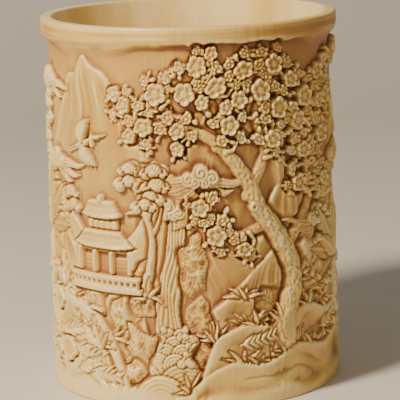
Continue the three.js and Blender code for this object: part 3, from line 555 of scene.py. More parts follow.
# a rounded limb along a line, its bark furrowed lengthwise and cracked across
def bough(layer, line, radius, level, thickness, seed, furrows=None):
    phase = seed * 1.7
    furrowCount = bark["furrows"] if furrows is None else furrows
    run = 0.0
    for start, end in zip(line[:-1], line[1:]):
        stretch = end[:2] - start[:2]
        length = max(float(np.hypot(*stretch)), 1e-6)
        widest = radius * max(start[2], end[2]) * (1 + bark["wobbleShare"]) + 1.0
        reach = length + widest + 4.5
        where, right, above = cellsNear(start[0], start[1], reach)
        share = np.clip((right * stretch[0] + above * stretch[1]) / length ** 2, 0, 1)
        offX = right - share * stretch[0]
        offY = above - share * stretch[1]
        away = np.hypot(offX, offY)
        side = np.sign(offX * stretch[1] - offY * stretch[0])
        place = run + share * length
        size = radius * (start[2] + (end[2] - start[2]) * share)
        knobs = np.sin(place * 0.4 + phase + 0.9 * side) + 0.7 * np.sin(place * 1.1 + 2 * phase + 1.7 * side)
        size *= 1 + 0.6 * bark["wobbleShare"] * knobs
        across = side * away / size
        strip = np.arcsin(np.clip(across, -1, 1)) * furrowCount / math.pi
        strip += 0.5 * np.sin(place * 0.42 + 2.2 * across + phase)
        strip += 0.16 * np.sin(place * 1.7 + 5 * across)
        plate = ridge(place / bark["platePitch"] + 0.37 * np.floor(strip)) ** 4
        cut = (ridge(strip) ** 0.6 - 0.75) - 0.45 * plate
        depth = bark["furrowDepth"] * min(1.0, radius * start[2] / bark["fullRadius"]) if furrowCount else 0
        field = level + thickness * size / radius * dome(across) + depth * cut * dome(across)
        put(layer, where, away - size, field)
        run += length


# the boughs of one tree, each with a seed of its own
def boughs(layer, lines, radius, level, thickness, firstSeed):
    for i, line in enumerate(lines):
        bough(layer, line, radius, level, thickness, firstSeed + i)


def limbLines(table):
    return [smoothLine(places, bark["step"]) for places in table]


plum = dict(
    radius=4.8, level=1.6, thickness=2.75, bowl=2.6, floor=0.8,
    twig=0.55, twigLevel=2.5, tipLevel=2.2, budLevel=2.9,
)
# boughs, roots and knots, each place a turn, a height share and a share of the radius
plumBoughShares = [
    [
        (37, 0.13, 1.45), (38, 0.2, 1.15), (43, 0.33, 0.92), (36, 0.44, 0.84), (27, 0.52, 0.72),
        (22, 0.6, 0.62), (10, 0.7, 0.46), (-2, 0.745, 0.34), (-13, 0.8, 0.26), (-25, 0.78, 0.15),
    ],
    [(38, 0.4, 0.6), (51, 0.5, 0.44), (57, 0.61, 0.34), (53, 0.72, 0.24), (60, 0.81, 0.16)],
    [(22, 0.56, 0.5), (30, 0.67, 0.38), (26, 0.77, 0.28), (33, 0.87, 0.16)],
    [(10, 0.69, 0.42), (13, 0.79, 0.28), (4, 0.88, 0.16)],
    [(31, 0.48, 0.42), (17, 0.46, 0.26), (6, 0.5, 0.16)],
]
plumRootShares = [
    [(38, 0.22, 0.7), (46, 0.185, 0.42), (53, 0.18, 0.3), (60, 0.16, 0.15)],
    [(36, 0.22, 0.7), (29, 0.185, 0.42), (23, 0.19, 0.28), (17, 0.17, 0.15)],
    [(38, 0.19, 0.6), (43, 0.15, 0.4), (47, 0.11, 0.2)],
    [(35, 0.19, 0.6), (31, 0.15, 0.4), (30, 0.1, 0.2)],
]
knotShares = [(40, 0.29, 0.36), (24, 0.53, 0.32)]


def knot(layer, turn, heightShare, share):
    radius = plum["radius"] * share
    where, right, above = cellsNear(along(turn), up(heightShare), radius + 2)
    away = np.hypot(right, above * 0.8) / radius
    field = plum["level"] + plum["thickness"] * 0.75 + 0.5 * bell((away - 0.6) / 0.22)
    put(layer, where, (away - 1) * radius, field - 1.1 * bell(away / 0.3))


plumLines = limbLines(plumBoughShares)
layer = newLayer()
boughs(layer, limbLines(plumRootShares), plum["radius"], plum["level"], plum["thickness"] * 0.9, 3)
boughs(layer, plumLines, plum["radius"], plum["level"], plum["thickness"], 0)
for row in knotShares:
    knot(layer, *row)
press(layer, plum)
print("plum tree cut")

water = dict(
    reaches=[(-112, -68), (-34, 10), (146, 208)],  # turns
    waveRadius=11.5, pitchShare=1.75, rowRise=5.6, rowCount=2,
    frontLevel=4.15, rowDrop=0.55, ringPitch=1.75, ringDepth=0.55,
    rim=1.4, rimDrop=0.5,
    fade=0.05,  # how far a wave sinks with each mm from its edge
    bowl=1.3, drop=0.9,
    curl=2.1, curlCut=dict(bowl=0.9, drop=0.6),
)
# the curls on one wave: how far right of its middle, height as a share of its radius, size share, rise, hand
curlShares = [(1.2, 0.95, 1, 0.6, 1), (-2.4, 0.9, 0.8, 0.45, -1), (4.2, 0.82, 0.6, 0.4, 1)]


# a coil: a round form with a spiral groove
def coil(layer, x, y, radius, level, hand, start=0.0, groove=0.6, turns=1.7):
    where, right, above = cellsNear(x, y, radius + 4)
    away = np.hypot(right, above)
    angle = hand * np.arctan2(above, right) + start
    line = ridge(away / radius * turns - angle / fullTurn) ** 2
    field = level - 0.35 + 0.6 * dome(away / radius) - groove * (line - 0.4) * ease(away / radius, 0, 0.2)
    put(layer, where, away - radius, field)


def waves(fromTurn, toTurn):
    radius = water["waveRadius"]
    pitch = water["pitchShare"] * radius
    for row in reversed(range(water["rowCount"])):
        level = water["frontLevel"] - water["rowDrop"] * row
        y = water["rowRise"] * row + 1.5
        scallops = newLayer()
        curls = newLayer()
        x = along(fromTurn) + (row % 2) * pitch / 2
        while x <= along(toTurn):
            where, right, above = cellsNear(x, y, radius + 3)
            away = np.hypot(right, above * 1.06) + 0.3 * np.sin(3 * np.arctan2(above, right) + x)
            ring = ridge((radius - away) / water["ringPitch"])
            field = level - water["rimDrop"] * (1 - rounded(away - radius, water["rim"]))
            field += water["ringDepth"] * (np.sqrt(ring) - 0.6)
            put(scallops, where, away - radius, field - water["fade"] * (radius - away))
            if row and (round(x) + row) % 3:
                for off, highShare, sizeShare, rise, hand in curlShares:
                    high = y + radius * highShare
                    coil(curls, x + off, high, water["curl"] * sizeShare, level + rise, hand)
            x += pitch
        press(scallops, water)
        if row:
            press(curls, water["curlCut"])


# one blade, petal or leaf from its foot; lean is from straight up, positive to the right
def leaf(layer, x, y, lean, length, width, level, veinPitch=1.5, veinDepth=0, bend=0, raggedShare=0, blunt=1):
    where, right, above = cellsNear(x, y, length + 3)
    across, run = turned(right, above, lean)
    inside = np.clip(run / length, 0, 1)
    across -= bend * inside ** 2
    half = width / 2 * np.sin(math.pi * inside ** blunt) ** 0.75
    notch = np.clip(ridge(inside * length / 4.2 + 0.25 * np.sign(across)) - 0.72, 0, 1) / 0.28
    half *= 1 - raggedShare * notch
    edge = np.maximum(np.abs(across) - half, np.maximum(-run, run - length))
    q = np.abs(across) / np.maximum(half, 0.2)
    rib = bell(across / 0.42)
    vein = ridge(run / veinPitch - np.abs(across) / veinPitch * 0.9) ** 2
    field = level + 0.5 * (1 - q) + 0.2 * rib - veinDepth * vein * (1 - rib) - 0.6 * inside ** 2
    put(layer, where, edge, field)


grass = dict(
    length=8.6, width=1.35, level=3.4, hemShare=0.8,
    bowl=1.3, floor=2.5, leafStainAndShadeShare=0.5,
)
# turn, height share, share of the length
grassShares = [
    (-33, 0.32, 0.8), (20, 0.29, 1), (52, 0.31, 1), (61, 0.28, 1.1), (74, 0.31, 1), (46, 0.33, 0.8),
    (88, 0.29, 1), (104, 0.24, 1), (122, 0.18, 0.9), (136, 0.2, 1), (199, 0.2, 1), (213, 0.24, 0.9),
    (228, 0.26, 1), (245, 0.25, 1), (260, 0.25, 1), (275, 0.26, 1), (-92, 0.26, 0.8),
]


def grassTuft(turn, heightShare, share, seed):
    random = np.random.default_rng(seed)
    blades = int(random.integers(6, 10))
    spread = random.uniform(110, 165)
    for layerIndex in range(3):
        layer = newLayer()
        for k in range(layerIndex, blades, 3):
            lean = (k / (blades - 1) - 0.5) * spread + random.uniform(-12, 12)
            length = grass["length"] * share * random.uniform(0.55, 1.15) * (1 - 0.25 * abs(lean) / 65)
            leaf(layer, along(turn) + 0.02 * lean, up(heightShare) + random.uniform(-0.6, 0.6), lean, length,
                 grass["width"] * random.uniform(0.8, 1.3), grass["level"] + 0.25 * layerIndex,
                 bend=0.05 * lean, blunt=0.6)
        press(layer, grass)


# tufts along a crest, whose feet the bank then hides
def hemWithGrass(crestShares, seed):
    random = np.random.default_rng(seed)
    turns, heightShares = zip(*crestShares)
    turn = turns[0] + banks["tuftStep"] * random.uniform(0.5, 1.5)
    while turn < turns[-1] - banks["tuftStep"]:
        crest = np.interp(turn, turns, heightShares)
        if random.uniform(0, 1) < grass["hemShare"]:
            grassTuft(turn, crest - 0.008, random.uniform(0.65, 1.15), int(turn * 10) + 9000)
        turn += banks["tuftStep"] * random.uniform(0.6, 1.5)


foam = dict(
    radius=4.2, level=3.6, rim=0.8, rimDrop=0.4, ringPitch=1.2, ringDepth=0.7,
    bowl=0.8, drop=0.7, curl=1.2, curlCut=dict(bowl=0.6, drop=0.5),
)
# turn, height share, share of the radius, from the back row to the front
foamShares = [
    (-10.5, 0.205, 0.75), (-5.5, 0.205, 0.75), (-14, 0.185, 0.85), (-8, 0.182, 0.95), (-2, 0.187, 0.85),
    (-18, 0.162, 0.95), (-11.5, 0.16, 1.0), (-5, 0.16, 1.0), (1, 0.165, 0.9),
    (-21, 0.137, 1.0), (-14.5, 0.134, 1.05), (-8, 0.132, 1.1), (-1.5, 0.136, 1.05), (4.5, 0.14, 0.9),
]


def splash():
    for i, (turn, heightShare, share) in enumerate(foamShares):
        radius = foam["radius"] * share
        layer = newLayer()
        where, right, above = cellsNear(along(turn), up(heightShare) - 0.4 * radius, radius + 2)
        away = np.hypot(right, above)
        ring = ridge((radius - away) / foam["ringPitch"])
        field = foam["level"] + 0.04 * i + foam["ringDepth"] * (np.sqrt(ring) - 0.6)
        put(layer, where, away - radius, field - foam["rimDrop"] * (1 - rounded(away - radius, foam["rim"])))
        press(layer, foam)
        if i % 3 != 2:
            layer = newLayer()
            side = 1 if i % 2 else -1
            coil(layer, along(turn) + 0.5 * side * radius, up(heightShare) + 0.45 * radius, foam["curl"],
                 foam["level"] + 0.6, hand=side, turns=1.4)
            press(layer, foam["curlCut"])


spray = dict(
    length=15.0, stemWidth=0.8, pairs=6, leafLength=4.6, leafWidth=1.35,
    spread=38, level=3.75, bowl=1.1, floor=2.9, leafStainAndShadeShare=0.5,
)
# turn, height share and lean of each spray's foot, share of its length
sprayShares = [
    (-71, 0.105, 52, 0.9), (-66, 0.16, 74, 0.9), (-55, 0.14, 98, 1), (-53, 0.075, 70, 0.8),
    (-44, 0.085, 96, 0.8), (17, 0.165, 80, 0.9), (58, 0.165, 74, 1), (84, 0.185, 104, 1), (66, 0.27, 60, 0.8),
    (96, 0.25, 112, 1), (216, 0.1, 62, 0.9), (238, 0.125, 82, 1), (262, 0.13, 100, 0.9),
]


# a leafy spray that lies on a near slope
def leafySpray(turn, heightShare, lean, share, seed):
    random = np.random.default_rng(seed)
    layer = newLayer()
    length = spray["length"] * share
    rightward = math.sin(math.radians(lean))
    upward = math.cos(math.radians(lean))
    leaf(layer, along(turn), up(heightShare), lean, length + 2, spray["stemWidth"], spray["level"] - 0.3,
         blunt=0.5)
    for k in range(spray["pairs"]):
        run = (0.12 + 0.88 * k / (spray["pairs"] - 1)) * length
        for side in (-1, 1):
            leaf(layer, along(turn) + run * rightward, up(heightShare) + run * upward,
                 lean + side * spray["spread"] * random.uniform(0.8, 1.2),
                 spray["leafLength"] * random.uniform(0.8, 1.15) * (1.1 - 0.35 * k / spray["pairs"]),
                 spray["leafWidth"], spray["level"] + 0.1 * side, blunt=0.7)
    press(layer, spray)


splash()
for fromTurn, toTurn in water["reaches"]:
    waves(fromTurn, toTurn)
cutEach(grassTuft, grassShares, 300)
cutRocks(True)
for i, crestShares in enumerate(frontBankShares):
    hemWithGrass(crestShares, seed=500 + i)
    bank(crestShares, seed=i + 6, level=banks["frontLevel"])
cutEach(leafySpray, sprayShares, 600)
print("water, rocks, grass and banks cut")

clouds = dict(
    width=20.0, height=10.0, level=3.6, groove=0.95, bowl=3.0, drop=0.7,
    ribbonThick=1.9, ribbonGroove=0.55,
)
# turn, height share, share of the size
cloudShares = [
    (-76, 0.84, 0.9), (-66, 0.63, 0.9), (3, 0.61, 0.95), (78, 0.62, 1), (84, 0.9, 0.8), (-9, 0.525, 0.85),
    (146, 0.95, 0.8), (166, 0.58, 1), (222, 0.9, 0.9), (250, 0.6, 1), (57, 0.47, 0.9),
]
# the scrolls of one cloud: shares of its width and height from the middle, radius share, hand
scrollShares = [
    (-0.24, 0.04, 0.15, -1), (0.22, 0.02, 0.14, 1), (-0.03, 0.25, 0.17, 1), (-0.1, -0.12, 0.12, -1),
    (0.1, -0.1, 0.12, 1),
]
# the ribbons that trail from it: shares of the width and height at the start, length share, rise share
ribbonShares = [
    (-0.3, -0.2, -0.75, 0.1), (-0.2, -0.38, -0.5, -0.15), (0.25, -0.12, 0.8, 0.22), (0.2, -0.3, 0.65, -0.1),
    (0.1, -0.42, 0.45, -0.3),
]


def cloud(turn, heightShare, share, seed):
    width = clouds["width"] * share
    height = clouds["height"] * share
    hand = 1 if seed % 2 else -1
    x = along(turn)
    y = up(heightShare)
    layer = newLayer()
    for offX, offY, longShare, riseShare in ribbonShares:
        length = abs(longShare) * width
        side = hand * math.copysign(1, longShare)
        where, right, above = cellsNear(x + hand * offX * width, y + offY * height, length + 3, height)
        run = right * side / length
        inside = np.clip(run, 0, 1)
        middle = riseShare * height * inside + 0.9 * np.sin(inside * 5 + seed)
        thick = clouds["ribbonThick"] * share * (1 - inside) ** 0.7 + 0.15
        q = (above - middle) / thick
        edge = np.maximum(np.abs(above - middle) - thick, np.maximum(-run, run - 1) * length)
        groove = clouds["ribbonGroove"] * ridge(q * 1.15) ** 3
        put(layer, where, edge, clouds["level"] - 0.3 - 0.6 * inside - 0.2 * q ** 2 - groove)
    for offX, offY, radiusShare, turnHand in scrollShares:
        centreX = x + hand * offX * width
        coil(layer, centreX, y + offY * height, radiusShare * width, clouds["level"], hand * turnHand,
             start=seed, groove=clouds["groove"], turns=1.9)
    press(layer, clouds)


cutEach(cloud, cloudShares)
print("clouds cut")

lotus = dict(
    radius=6.0, level=4.0, veins=13, veinDepth=0.3, squashShare=0.72,
    bowl=1.5, floor=1.1, leafStainAndShadeShare=0.3, stemCut=dict(bowl=1.0, floor=1.6),
)
# leaves and flowers: turn, height share, share of the size
lotusShares = [
    (-80, 0.17, 1), (-70, 0.25, 0.9), (-62, 0.12, 1), (160, 0.22, 0.9), (172, 0.16, 1.1), (184, 0.24, 1),
    (-88, 0.23, 0.8), (-74, 0.1, 0.8), (164, 0.1, 0.8), (192, 0.13, 0.9), (176, 0.29, 0.75),
]
lotusFlowerShares = [(-75, 0.31, 1), (168, 0.33, 1.1), (186, 0.345, 0.8), (-86, 0.31, 0.8)]
petal = dict(length=5.6, width=2.7, level=3.6, bowl=0.6, drop=0.5)
# the lean of the petals, from the back row to the front
petalLeans = [(-68, 68), (-40, 40), (-16, 16, 0)]


def lotusPad(turn, heightShare, share, seed):
    radius = lotus["radius"] * share
    layer = newLayer()
    where, right, above = cellsNear(along(turn), up(heightShare), radius * 1.4 + 3)
    tall = above / lotus["squashShare"]
    angle = np.arctan2(tall, right)
    reach = radius * (1.08 + 0.07 * np.sin(5 * angle + seed) + 0.04 * np.sin(9 * angle + 2 * seed))
    reach = reach * (1 - 0.55 * bell((np.abs(angle) - math.pi) / 0.12))
    q = np.hypot(right, tall) / reach
    vein = ridge(angle / fullTurn * lotus["veins"]) ** 4
    field = lotus["level"] - 0.7 + 0.85 * q ** 2 - lotus["veinDepth"] * vein * ease(q, 0.12, 0.5)
    field = field - 0.4 * ease(q, 0.9, 1.0) + 0.25 * bell(q / 0.12)
    put(layer, where, (q - 1) * radius * lotus["squashShare"], field)
    press(layer, lotus)


def lotusFlower(turn, heightShare, share):
    x = along(turn)
    y = up(heightShare)
    layer = newLayer()
    stem = [(turn + 2, heightShare - 0.13, 1), (turn, heightShare, 1)]
    bough(layer, smoothLine(stem, 4), 0.6, 3.0, 0.8, 1, furrows=0)
    press(layer, lotus["stemCut"])
    for order, leans in enumerate(petalLeans):
        layer = newLayer()
        for lean in leans:
            leaf(layer, x, y, lean, petal["length"] * share, petal["width"] * share,
                 petal["level"] + 0.25 * order, veinPitch=2.5, veinDepth=0.05)
        press(layer, petal)


cutEach(lotusPad, lotusShares)
for row in lotusFlowerShares:
    lotusFlower(*row)
print("lotus cut")

pine = dict(
    radius=4.8, boughLevel=1.6, boughThick=2.7, rootThick=2.5,
    boughCut=dict(bowl=3.0, floor=0.7),
    padWidth=12.0, padHeight=8.4, padsAtTip=5, flatShare=0.62,
    level=3.45, needlesPerWidth=1.25, needleDepth=0.95, bowl=1.2, floor=0.6, leafStainAndShadeShare=0.9,
)
# boughs and roots, each place a turn, a height share and a share of the radius
pineBoughShares = [
    [(236, 0.16, 1), (232, 0.34, 0.85), (240, 0.5, 0.7), (234, 0.64, 0.55), (226, 0.76, 0.3)],
    [(237, 0.44, 0.5), (250, 0.52, 0.36), (262, 0.5, 0.2)],
    [(238, 0.56, 0.5), (249, 0.67, 0.36), (258, 0.74, 0.2)],
]
pineRootShares = [
    [(236, 0.25, 0.75), (242, 0.205, 0.42), (249, 0.18, 0.14)],
    [(235, 0.25, 0.75), (229, 0.2, 0.42), (221, 0.185, 0.14)],
    [(236, 0.21, 0.7), (240, 0.155, 0.4), (244, 0.125, 0.15)],
    [(235, 0.21, 0.7), (232, 0.155, 0.4), (229, 0.13, 0.15)],
]
# needle pads: turn, height share, share of the size
pinePadShares = [
    (220, 0.77, 1), (229, 0.83, 1.1), (236, 0.735, 1), (244, 0.8, 1.05), (253, 0.73, 0.9), (262, 0.79, 1.1),
    (266, 0.7, 0.9), (250, 0.6, 0.9), (261, 0.56, 1.1), (270, 0.49, 0.9), (223, 0.66, 0.9),
]


# a fan of needles, scalloped at its edge and grooved from its stem
def pinePad(layer, x, y, width, height, level, spin=0.0):
    where, right, above = cellsNear(x, y, width / 2 + 2.5, height / 2 + 3)
    above = above + 0.3 * height
    angle = np.arctan2(above / height * width, right)
    q = np.hypot(right / (width / 2), above / (height * 0.8))
    q *= np.where(above < 0, 1.6, 1.0)
    count = max(7, round(width * pine["needlesPerWidth"]))
    needle = 1 - np.sqrt(ridge(angle / math.pi * count + spin))
    depth = pine["needleDepth"] * min(1.0, width / 5)
    put(layer, where, (q - 1) * height / 2, level + 0.6 * dome(q) - depth * needle * ease(q, 0.1, 0.45))


smallTrees = dict(
    radius=1.5, rootRadius=1.35, stemRadius=0.8, level=1.9, stemLevel=2.0, thickness=1.5,
    step=1.2, sway=3.0, tips=8, bowl=1.8, floor=1.3, leafStainAndShadeShare=0.4,
    padLevel=3.1, padCut=dict(bowl=0.9, floor=1.5, leafStainAndShadeShare=0.5),
)
# turn, height shares of the foot and the crown, crown width in degrees, share of the pad size
smallTreeShares = [
    (-62, 0.32, 0.56, 16, 0.56), (-19, 0.32, 0.6, 13, 0.54), (177, 0.3, 0.54, 15, 0.5),
    (206, 0.28, 0.56, 14, 0.5), (112, 0.3, 0.5, 15, 0.5), (64, 0.3, 0.5, 12, 0.44),
    (276, 0.62, 0.76, 12, 0.4), (-88, 0.33, 0.56, 12, 0.45),
]
# how far each root reaches in degrees, and down as a height share
smallRootShares = [(-4.2, 0.012), (3.6, 0.02), (-1.5, 0.035)]
# the branches: side, share of the trunk's height, reach in degrees, share of the trunk's sway
smallBranchShares = [(1, 0.5, 4.2, 0.95), (-1, 0.62, 4.8, 0.55)]


def smallTree(turn, footShare, crownShare, crownTurn, share, seed):
    random = np.random.default_rng(seed)
    radius = smallTrees["radius"]
    level = smallTrees["level"]
    thickness = smallTrees["thickness"]
    step = smallTrees["step"]
    sway = smallTrees["sway"] if seed % 2 else -smallTrees["sway"]
    rise = crownShare - footShare
    layer = newLayer()
    for rootTurn, rootDrop in smallRootShares:
        root = [
            (turn + 0.2, footShare + 0.035, 0.9), (turn + 0.5 * rootTurn, footShare + 0.005, 0.65),
            (turn + rootTurn, footShare - rootDrop, 0.2),
        ]
        bough(layer, smoothLine(root, step), smallTrees["rootRadius"], level, thickness, seed, furrows=2)
    trunk = [
        (turn, footShare, 1.35), (turn + 0.6 * sway, footShare + 0.2 * rise, 1.05),
        (turn + sway, footShare + 0.45 * rise, 0.85), (turn + 0.3 * sway, footShare + 0.7 * rise, 0.7),
        (turn - 0.2 * sway, crownShare - 0.03, 0.5), (turn, crownShare, 0.3),
    ]
    bough(layer, smoothLine(trunk, step), radius, level, 1.7, seed, furrows=2.6)
    for side, fromShare, reachTurn, swayShare in smallBranchShares:
        rootTurn = turn + sway * swayShare
        branch = [
            (rootTurn, footShare + fromShare * rise, 0.6),
            (rootTurn + 0.6 * side * reachTurn, footShare + (fromShare + 0.12) * rise, 0.45),
            (rootTurn + side * reachTurn, footShare + (fromShare + 0.27) * rise, 0.25),
        ]
        bough(layer, smoothLine(branch, step), radius, level, thickness, seed + 3, furrows=2)
    tips = []
    for k in range(smallTrees["tips"]):
        tipTurn = turn + random.uniform(-0.5, 0.5) * crownTurn
        tipShare = crownShare + random.uniform(-0.09, 0.06)
        stem = smoothLine([(turn + sway / 2, crownShare - 0.1, 0.9), (tipTurn, tipShare, 0.4)], 1.6)
        bough(layer, stem, smallTrees["stemRadius"], smallTrees["stemLevel"], 1.0, seed + k, furrows=0)
        tips.append((tipTurn, tipShare))
    press(layer, smallTrees)
    for k, (tipTurn, tipShare) in enumerate(sorted(tips, key=lambda tip: -tip[1])):
        for side in (-1, 1, 0):
            layer = newLayer()
            width = pine["padWidth"] * share * random.uniform(0.7, 1.05)
            x = along(tipTurn) + side * 0.55 * width
            y = up(tipShare) - abs(side) * 0.2 * width
            pinePad(layer, x, y, width, width * 0.6, smallTrees["padLevel"] + 0.04 * k)
            press(layer, smallTrees["padCut"])


for i, row in enumerate(smallTreeShares):
    smallTree(*row, seed=400 + i)
    grassTuft(row[0] + 1, row[1] - 0.022, 0.75, seed=430 + i)
print("grass and small trees cut")

pavilions = dict(
    width=26.0, terraceHeight=4.0, terraceOverhang=3.0,
    columnHeight=11.0, columnWidth=1.7, columns=4,
    roofHeight=6.5, roofOverhang=4.2, eaveLift=2.6, tilePitch=1.7, coursePitch=1.6,
    upperStoreyShare=0.4, upperWidthShare=0.55, finial=1.3,
    # how high each part stands, from the back of the rooms to the terrace's cap
    backLevel=0.8, latticeLevel=1.4, fretLevel=1.9, upperLevel=2.6, columnLevel=2.9,
    finialLevel=3.3, roofLevel=3.85, railLevel=3.9, stoneLevel=4.2, capLevel=4.3,
    roomCut=dict(bowl=1.6, drop=0.3), columnCut=dict(bowl=0.7, drop=0.2), upperCut=dict(bowl=1.0, drop=0.5),
    roofCut=dict(bowl=1.5, floor=1.2), terraceCut=dict(bowl=1.3, floor=1.4),
)
# turn, height share, share of the size
pavilionShares = [(-38, 0.315, 1.0), (190, 0.3, 0.8)]


# a flat form with square corners, which relieved may pattern
def slab(layer, x, y, width, height, level, rim=0.4, relieved=None):
    where, right, above = cellsNear(x, y + height / 2, width / 2 + 4, height / 2 + 4)
    edge = np.maximum(np.abs(right) - width / 2, np.abs(above) - height / 2)
    pattern = 0 if relieved is None else relieved(right, above + height / 2)
    put(layer, where, edge, level - 0.5 * (1 - rounded(edge, rim)) + pattern)


def roof(layer, x, y, width, height, level):
    where, right, above = cellsNear(x, y + height / 2, width / 2 + 5, height + 6)
    above = above + height / 2
    share = np.clip(above / height, 0, 1)
    draw = 1 - 0.5 * share ** 0.62
    halfWidth = width / 2 * draw
    reach = np.abs(right) / (width / 2)
    lift = pavilions["eaveLift"] * reach ** 4
    edge = np.maximum(np.maximum(lift - above, above - height), (np.abs(right) - halfWidth) * 0.8)
    tiles = np.sqrt(ridge(right / draw / pavilions["tilePitch"] + 0.5))
    steps = above - lift
    course = ridge(steps / pavilions["coursePitch"]) ** 6
    eave = bell((steps - 0.6) / 0.55)
    hips = bell((np.abs(right) - halfWidth + 0.8) / 0.5)
    top = bell((above - height + 0.7) / 0.7)
    field = level - 1.1 * share + 0.85 * (tiles - 0.6) - 0.2 * course + 0.35 * eave + 0.4 * hips + 0.6 * top
    put(layer, where, edge, np.minimum(field, topLevel))


def lattice(right, above):
    return 0.35 * np.maximum(ridge(right / 1.5) ** 3, ridge(above / 1.5) ** 3)


def fretwork(right, above):
    return 0.3 * ridge(right / 1.1) ** 2


def balusters(right, above):
    return -1.1 * ease(ridge(right / 2.6), 0.35, 0.6) * ease(0.9 - np.abs(above - 2.0), 0, 0.3)


def stones(right, above):
    return -0.3 * ridge(right / 2.4) ** 8


def pavilion(turn, heightShare, share):
    x = along(turn)
    width = pavilions["width"] * share
    storey = pavilions["columnHeight"] * share
    rise = pavilions["roofHeight"] * share
    terrace = up(heightShare)
    floor = terrace + pavilions["terraceHeight"]
    eaves = floor + storey
    upperFloor = eaves + rise
    upperStorey = storey * pavilions["upperStoreyShare"]
    upperEaves = upperFloor + upperStorey
    upperWidth = width * pavilions["upperWidthShare"]
    layer = newLayer()
    slab(layer, x, floor - 0.5, width - 1, storey + 1.5, pavilions["backLevel"], rim=0.2)
    press(layer, pavilions["roomCut"])

    layer = newLayer()
    bay = (width - pavilions["columnWidth"]) / (pavilions["columns"] - 1)
    for side in (-1, 1):
        slab(layer, x + side * bay, floor + 0.4, bay - 2.4, storey * 0.62, pavilions["latticeLevel"],
             rim=0.2, relieved=lattice)
    for side in (-1, 0, 1):
        slab(layer, x + side * bay, eaves - storey * 0.2, bay - 1.6, storey * 0.14, pavilions["fretLevel"],
             rim=0.2, relieved=fretwork)
    for i in range(pavilions["columns"]):
        across = (i / (pavilions["columns"] - 1) - 0.5) * (width - pavilions["columnWidth"])
        where, right, above = cellsNear(x + across, floor + storey / 2, 3, storey / 2 + 3)
        half = pavilions["columnWidth"] / 2 * share ** 0.5
        edge = np.maximum(np.abs(right) - half, np.abs(above) - storey / 2 - 0.5)
        put(layer, where, edge, pavilions["columnLevel"] + 0.7 * dome(right / half))
    press(layer, pavilions["columnCut"])

    layer = newLayer()
    slab(layer, x, upperFloor - 0.8, upperWidth, upperStorey + 1.6, pavilions["upperLevel"], rim=0.3,
         relieved=lambda right, above: 0.55 * ridge(right / (upperWidth / 5) + 0.5) ** 2)
    press(layer, pavilions["upperCut"])
    layer = newLayer()
    for roofWidth, foot in ((width, eaves - 0.4), (upperWidth, upperEaves)):
        roof(layer, x, foot, roofWidth + 2 * pavilions["roofOverhang"], rise, pavilions["roofLevel"])
    where, right, above = cellsNear(x, upperEaves + rise + 0.8, 4)
    away = np.hypot(right, above * 0.8) / pavilions["finial"]
    put(layer, where, (away - 1) * pavilions["finial"], pavilions["finialLevel"] + 0.9 * dome(away))
    press(layer, pavilions["roofCut"])

    layer = newLayer()
    rail = width + 2 * pavilions["terraceOverhang"]
    slab(layer, x, terrace, rail, pavilions["terraceHeight"], pavilions["railLevel"], relieved=balusters)
    slab(layer, x, floor - 0.6, rail + 1.2, 1.3, pavilions["capLevel"], rim=0.3)
    slab(layer, x, terrace - 1.6, rail + 2.0, 2.0, pavilions["stoneLevel"], rim=0.3, relieved=stones)
    press(layer, pavilions["terraceCut"])


for row in pavilionShares:
    pavilion(*row)
print("pavilions cut")


blossoms = dict(
    radius=4.2, level=2.9, petals=5, bud=0.75, bowl=1.0, drop=0.7, leafStainAndShadeShare=0.8,
    twigCut=dict(bowl=1.2, drop=0.4, leafStainAndShadeShare=0.6),
    hollowReach=1.2, hollowBlur=0.8, pocketSize=13.0, deepest=0.85, shallow=1.8,
    sprouts=5, sproutTurnShare=0.382, sproutCloseShare=0.78, sproutCount=34,
    extra=84,  # smaller blossoms set between the main ones
    extraCloseShare=0.74,
    topShare=0.955, tipTopShare=0.945, fromTurn=-31,  # the crown keeps within these
)
smallBlossomShares = [0.62, 0.48, 0.7, 0.55]
# turn, height share, share of the radius
blossomShares = [
    (-26, 0.8, 0.8), (-18, 0.745, 0.9), (-13, 0.83, 1), (-5, 0.735, 0.8), (-2, 0.83, 1), (3, 0.9, 0.95),
    (10, 0.845, 1.05), (15, 0.745, 0.9), (19, 0.81, 0.8), (21, 0.885, 0.95), (28, 0.83, 1.05),
    (34, 0.895, 0.9), (36, 0.78, 1), (33, 0.7, 0.85), (42, 0.85, 0.85), (46, 0.74, 0.95), (49, 0.66, 0.9),
    (50, 0.8, 1), (59, 0.86, 0.9), (66, 0.79, 0.85), (62, 0.69, 1), (64, 0.57, 0.85), (46, 0.575, 0.9),
    (3, 0.535, 0.8), (9, 0.46, 0.95), (20, 0.42, 0.8),
]


def nearestOn(lines, x, y):
    points = [point for line in lines for point in line]
    return min(points, key=lambda point: math.hypot(point[0] - x, point[1] - y))


def reached(x, y, reach, angle):
    return x + reach * math.cos(angle), y + reach * math.sin(angle)


# a twig with two bends, thinner towards its tip
def twig(layer, startX, startY, endX, endY, radius, level, seed):
    sag = 0.2 * (1 if seed % 2 else -1)
    stretchX = endX - startX
    stretchY = endY - startY
    line = [np.array((startX, startY, 1.6))]
    for t, off, size in [(0.35, sag, 1.15), (0.7, 0.25 * sag, 0.9)]:
        x = startX + t * stretchX + off * stretchY
        y = startY + t * stretchY - off * stretchX
        line.append(np.array((x, y, size)))
    line.append(np.array((endX, endY, 0.65)))
    bough(layer, line, radius, level, radius, seed, furrows=0)


